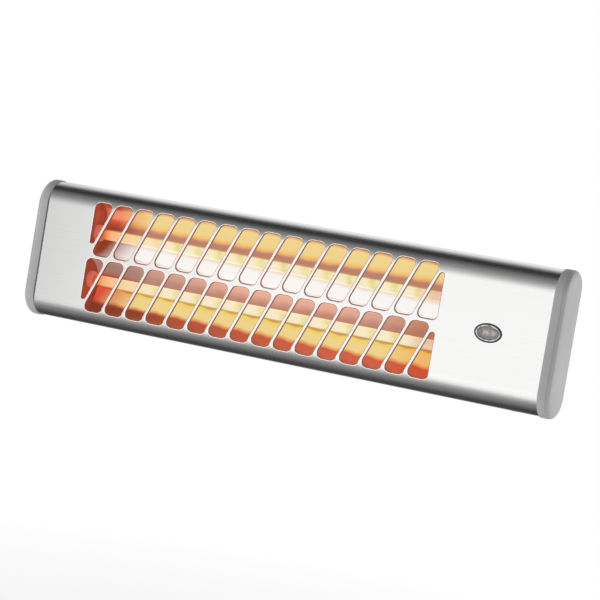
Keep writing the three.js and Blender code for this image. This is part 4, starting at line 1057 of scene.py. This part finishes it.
for side in (-1, 1):
    x = side * KEYHOLE
    bored(bracket, 2.8, "x", (side * (EAR - 1), PIVOT_DEPTH, PIVOT_Z), 5)
    bored(bracket, 4.5, "y", (x, 69, PIVOT_Z - 4.5), 5)
    neck = block("key_neck", (x - 2.25, 64, PIVOT_Z - 4.5), (x + 2.25, 74, PIVOT_Z + 6.5))
    bevel(neck, "EDGE", lambda at, way: abs(way.y) > 0.9 and at.z > PIVOT_Z, 2.2, 8)
    cut(bracket, neck)
ease(bracket, 0.25)
dress(smooth(bracket, 40), zinc_steel, "wall_bracket")

# %% [markdown]
# ## Screws
# All small screws are the same pan-head screw, so it is modelled once: a shank, a domed head
# drawn ring by ring, and a cross recess cut with two thin blocks. Every other screw is a copy
# with its own mesh, moved to the place of its CAD node.

# %% Pan-head screws
HEAD_TOP = 2.1
head_rings = [(1.2, -6.0), (1.6, -5.2), (1.6, 0.3), (3.2, 0.3), (3.2, 0.9), (2.9, 1.5), (2.2, 1.95),
              (1.1, HEAD_TOP)]
master = ringed("screw_master", head_rings, "y", (0, 0, 0), 32)
for wide, high in ((2.0, 0.35), (0.35, 2.0)):
    cut(master, block("cross", (-wide, 0.9, -high), (wide, 3, high)))


def screw_at(node, material):
    low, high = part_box(node)
    middle = (low + high) / 2 / MM - FACE
    seat = high.y / MM - FACE.y - HEAD_TOP
    twin = copy_of(master, f"{node}_head", (middle.x, seat, middle.z))
    dress(smooth(twin, 40), material, node)


for end in ("left", "right"):
    for row in ("upper", "lower"):
        for kind in ("rear", "cap", "plate"):
            screw_at(f"{kind}_screw_{end}_{row}", dark_steel)
screw_at("earth_screw", brass)
bpy.data.objects.remove(master, do_unlink=True)

# %% [markdown]
# ## Pivots, gland, bush and lever
# The pivots are round-head screws with a washer outside and a hexagon nut inside the lug. The
# cable gland has a flange and a ribbed barrel, and the pull switch ends in a small lever with
# an eye for its cord, inside a bush in the underside. They are all drawn ring by ring. The return
# spring on the lever is a coil like the heating wires.

# %% Pivots
bolt_rings = [(2.1, 239.0), (2.5, 239.5), (2.5, 250.4), (5.0, 250.4), (5.0, 251.3), (4.6, 252.3),
              (3.6, 253.0), (2.0, 253.4)]
washer_rings = [(2.8, 249.15), (5.9, 249.1), (6.0, 249.3), (6.0, 249.9), (5.9, 250.1), (2.8, 250.1),
                (2.8, 249.15)]
nut_rings = [(2.8, 244.6), (4.7, 244.7), (5.19, 244.3), (5.19, 241.1), (4.7, 240.7), (2.8, 240.8),
             (2.8, 244.6)]
pivot = (0, PIVOT_DEPTH, PIVOT_Z)
for side, end, axis in ((-1, "left", "-x"), (1, "right", "x")):
    bolt = ringed(f"{end}_pivot_bolt", bolt_rings, axis, pivot, 40)
    left, right = sorted((side * 252.2, side * 255))
    drive = block("drive", (left, PIVOT_DEPTH - 3.2, PIVOT_Z - 0.5), (right, PIVOT_DEPTH + 3.2, PIVOT_Z + 0.5))
    cut(bolt, drive)
    dress(smooth(bolt, 40), dark_steel, f"{end}_pivot_screw")
    washer = ringed(f"{end}_washer", washer_rings, axis, pivot, 40, False)
    dress(smooth(washer), zinc_steel, f"{end}_pivot_washer")
    nut = ringed(f"{end}_nut", nut_rings, axis, pivot, 6, False)
    dress(smooth(nut, 20), zinc_steel, f"{end}_pivot_nut")

# %% Gland, bush and lever
gland = [(3.5, 29.8), (6.0, 29.8), (6.0, 36.1), (8.5, 36.1), (8.5, 38.7), (8.1, 39.1), (6.1, 40.1)]
for k in range(4):
    start, slim = 40.7 + 1.35 * k, 0.16 * k
    gland += [(6.0 - slim, start), (5.3 - slim, start + 0.25), (5.3 - slim, start + 0.75),
              (5.84 - slim, start + 1.0)]
gland += [(5.1, 46.6), (4.6, 46.8), (3.6, 46.8), (3.5, 46.4), (3.5, 29.8)]
gland = ringed("cord_gland", gland, "y", (GLAND_X, 0, GLAND_Z), capped=False)
dress(smooth(gland, 35), dark_plastic, "cable_gland")
bush = [(2.5, -62.4), (3.6, -62.45), (3.8, -62.2), (3.8, -60.7), (5.5, -60.7), (5.5, -59.9), (5.3, -59.7),
        (2.4, -59.7), (2.4, -62.2), (2.5, -62.4)]
bush = ringed("cord_bush", bush, "z", (LEVER_X, LEVER_DEPTH, 0), capped=False)
dress(smooth(bush, 35), grey_plastic, "cord_guide")
lever = [(1.0, -62.2), (1.6, -62.1), (2.0, -61.2), (2.0, -37.7), (2.3, -37.35), (3.5, -37.3), (3.7, -37.1),
         (3.7, -33.6), (3.4, -33.3), (1.0, -33.3)]
lever = ringed("pull_stem", lever, "z", (LEVER_X, LEVER_DEPTH, 0), 40)
bored(lever, 0.8, "y", (LEVER_X, LEVER_DEPTH, -59.8), 6, 24)
dress(smooth(lever, 35), grey_plastic, "pull_lever")
spring = coil("lever_spring", spot(LEVER_X, LEVER_DEPTH, -45.65), "z", turns=6, pitch=2.5, radius=3.2,
              wire=0.5)
dress(spring, dark_steel, "return_spring")
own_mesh(spring)

# %% [markdown]
# ## Finishes for the nodes that stay
# The fittings inside the case keep their CAD shapes. Each takes the finish of its slot in the
# record, except the plates and ceramics at the ends of the tubes, which stand in red light.

# %% CAD nodes' finishes
finish_of = {
    "brushed_steel": brushed_steel, "zinc_steel": zinc_steel, "grey_plastic": grey_plastic,
    "dark_plastic": dark_plastic, "polished_aluminium": upper_glow, "quartz": quartz, "hot_wire": hot_wire,
    "steatite": steatite, "brass": brass, "lens_plastic": lens_plastic, "neon_glass": neon_glass,
    "lead_sleeve": sleeve, "dark_steel": dark_steel,
}
for name, node in frame["nodes"].items():
    finish = finish_of[slot_of[name]]
    if name.endswith("tube_plate"):
        finish = lit_plate
    elif name.endswith("ceramic"):
        finish = lit_steatite
    for material_slot in node.material_slots:
        material_slot.material = finish
kept = sorted(name for name, node in frame["nodes"].items() if not node.hide_render)
print(len(kept), "nodes keep their CAD shape:", ", ".join(kept))

# %% [markdown]
# ## Floor and light
# Bright metal shows its surroundings, so the studio matters. The camera sees plain white. A
# reflection sees a light tent: white in front and behind, with a dark strip above and one below,
# which draw the dark bands on the rounded top and bottom. The tent is also darker far to the
# left, which shades the left end of the face. The strips follow the angle about the heater's
# length, so they run straight along it. The floor lies well below and fades to white.

# %% World
world = bpy.data.worlds.new("light_tent")
bpy.context.scene.world = world
world.use_nodes = True
tree = world.node_tree
tree.nodes.clear()
toward = add_node(tree, "TexCoord").outputs["Generated"]
split = add_node(tree, "SeparateXYZ", {0: toward}).outputs
front_way = add_node(tree, "Math", {0: split["Y"], 1: -1.0}, operation="MULTIPLY")
angle = add_node(tree, "Math", {0: split["Z"], 1: front_way}, operation="ARCTAN2")
degrees = add_node(tree, "Math", {0: angle, 1: 180 / math.pi}, operation="MULTIPLY")
strips = shades(
    degrees, (-180, 0.75), (-154, 0.3), (-140, 0.03), (-104, 0.06), (-80, 0.16), (-60, 0.24), (-48, 0.44),
    (-37, 0.94), (-30, 1.06), (5, 1.06), (13, 0.62), (24, 0.4), (37, 0.25), (52, 0.18), (64, 0.09),
    (74, 0.02), (99, 0.01), (107, 0.12), (127, 0.6), (145, 1.0), (180, 0.75))
leftward = shades(split["X"], (-0.9, 0.45), (-0.5474, 0.57), (-0.47, 1.1))
tent = add_node(tree, "Mix", {"Factor": 1.0, 6: strips, 7: leftward}, data_type="RGBA",
                blend_type="DARKEN").outputs[2]
ray = add_node(tree, "LightPath").outputs
direct = add_node(tree, "Math", {0: ray["Is Camera Ray"], 1: ray["Is Transmission Ray"]},
                  operation="MAXIMUM")
DIM, WHITE = (0.33, 0.33, 0.33, 1), (1, 1, 1, 1)
seen = add_node(tree, "Mix", {"Factor": ray["Is Glossy Ray"], 6: DIM, 7: tent}, data_type="RGBA").outputs[2]
seen = add_node(tree, "Mix", {"Factor": direct, 6: seen, 7: WHITE}, data_type="RGBA").outputs[2]
sky = add_node(tree, "Background", {"Color": seen})
add_node(tree, "OutputWorld", {"Surface": sky})
print("World:", world.name)

# %% Floor
floor_paint = bpy.data.materials.new("pale_floor")
floor_paint.use_nodes = True
tree = floor_paint.node_tree
tree.nodes.clear()
glow = add_node(tree, "Emission", {"Color": WHITE, "Strength": 1.0})
matt = add_node(tree, "BsdfDiffuse", {"Color": linear("#F2F2F2")})
place = add_node(tree, "TexCoord").outputs["Object"]
away = add_node(tree, "VectorMath", {0: place}, operation="LENGTH").outputs["Value"]
fade = shades(away, (0.4, 0.7), (1.0, 1.0))
lit_floor = add_node(tree, "MixShader", {0: fade, 1: matt, 2: glow})
add_node(tree, "OutputMaterial", {"Surface": lit_floor})
clear()
bpy.ops.mesh.primitive_plane_add(size=24, location=(0, 0, -0.42))
floor = settle(named("floor"))
floor.data.materials.append(floor_paint)
floor.visible_glossy = False
tell(floor)

# %% Lamps
FAR = 2.2  # all lamps stand this many metres from the heater


def lamp(name, azimuth, elevation, width, height, power):
    data = bpy.data.lights.new(name, "AREA")
    data.shape, data.size, data.size_y, data.energy = "RECTANGLE", width, height, power
    light = bpy.data.objects.new(name, data)
    bpy.context.scene.collection.objects.link(light)
    a, e = math.radians(azimuth), math.radians(elevation)
    away = Vector((math.sin(a) * math.cos(e), -math.cos(a) * math.cos(e), math.sin(e))) * FAR
    light.location = away + spot(0, 0, 0)
    light.rotation_euler = (-away).to_track_quat("-Z", "Y").to_euler()
    light.visible_glossy = light.visible_camera = False


lamp("key", -50, 2, 1.4, 0.9, 18)
lamp("right_side", 122, 4, 1.0, 1.0, 25.5)
lamp("left_side", -85, 10, 1.0, 1.0, 10)
lamp("behind", 190, 25, 1.4, 0.9, 9)
print("Lit by a light tent and four soft lamps")
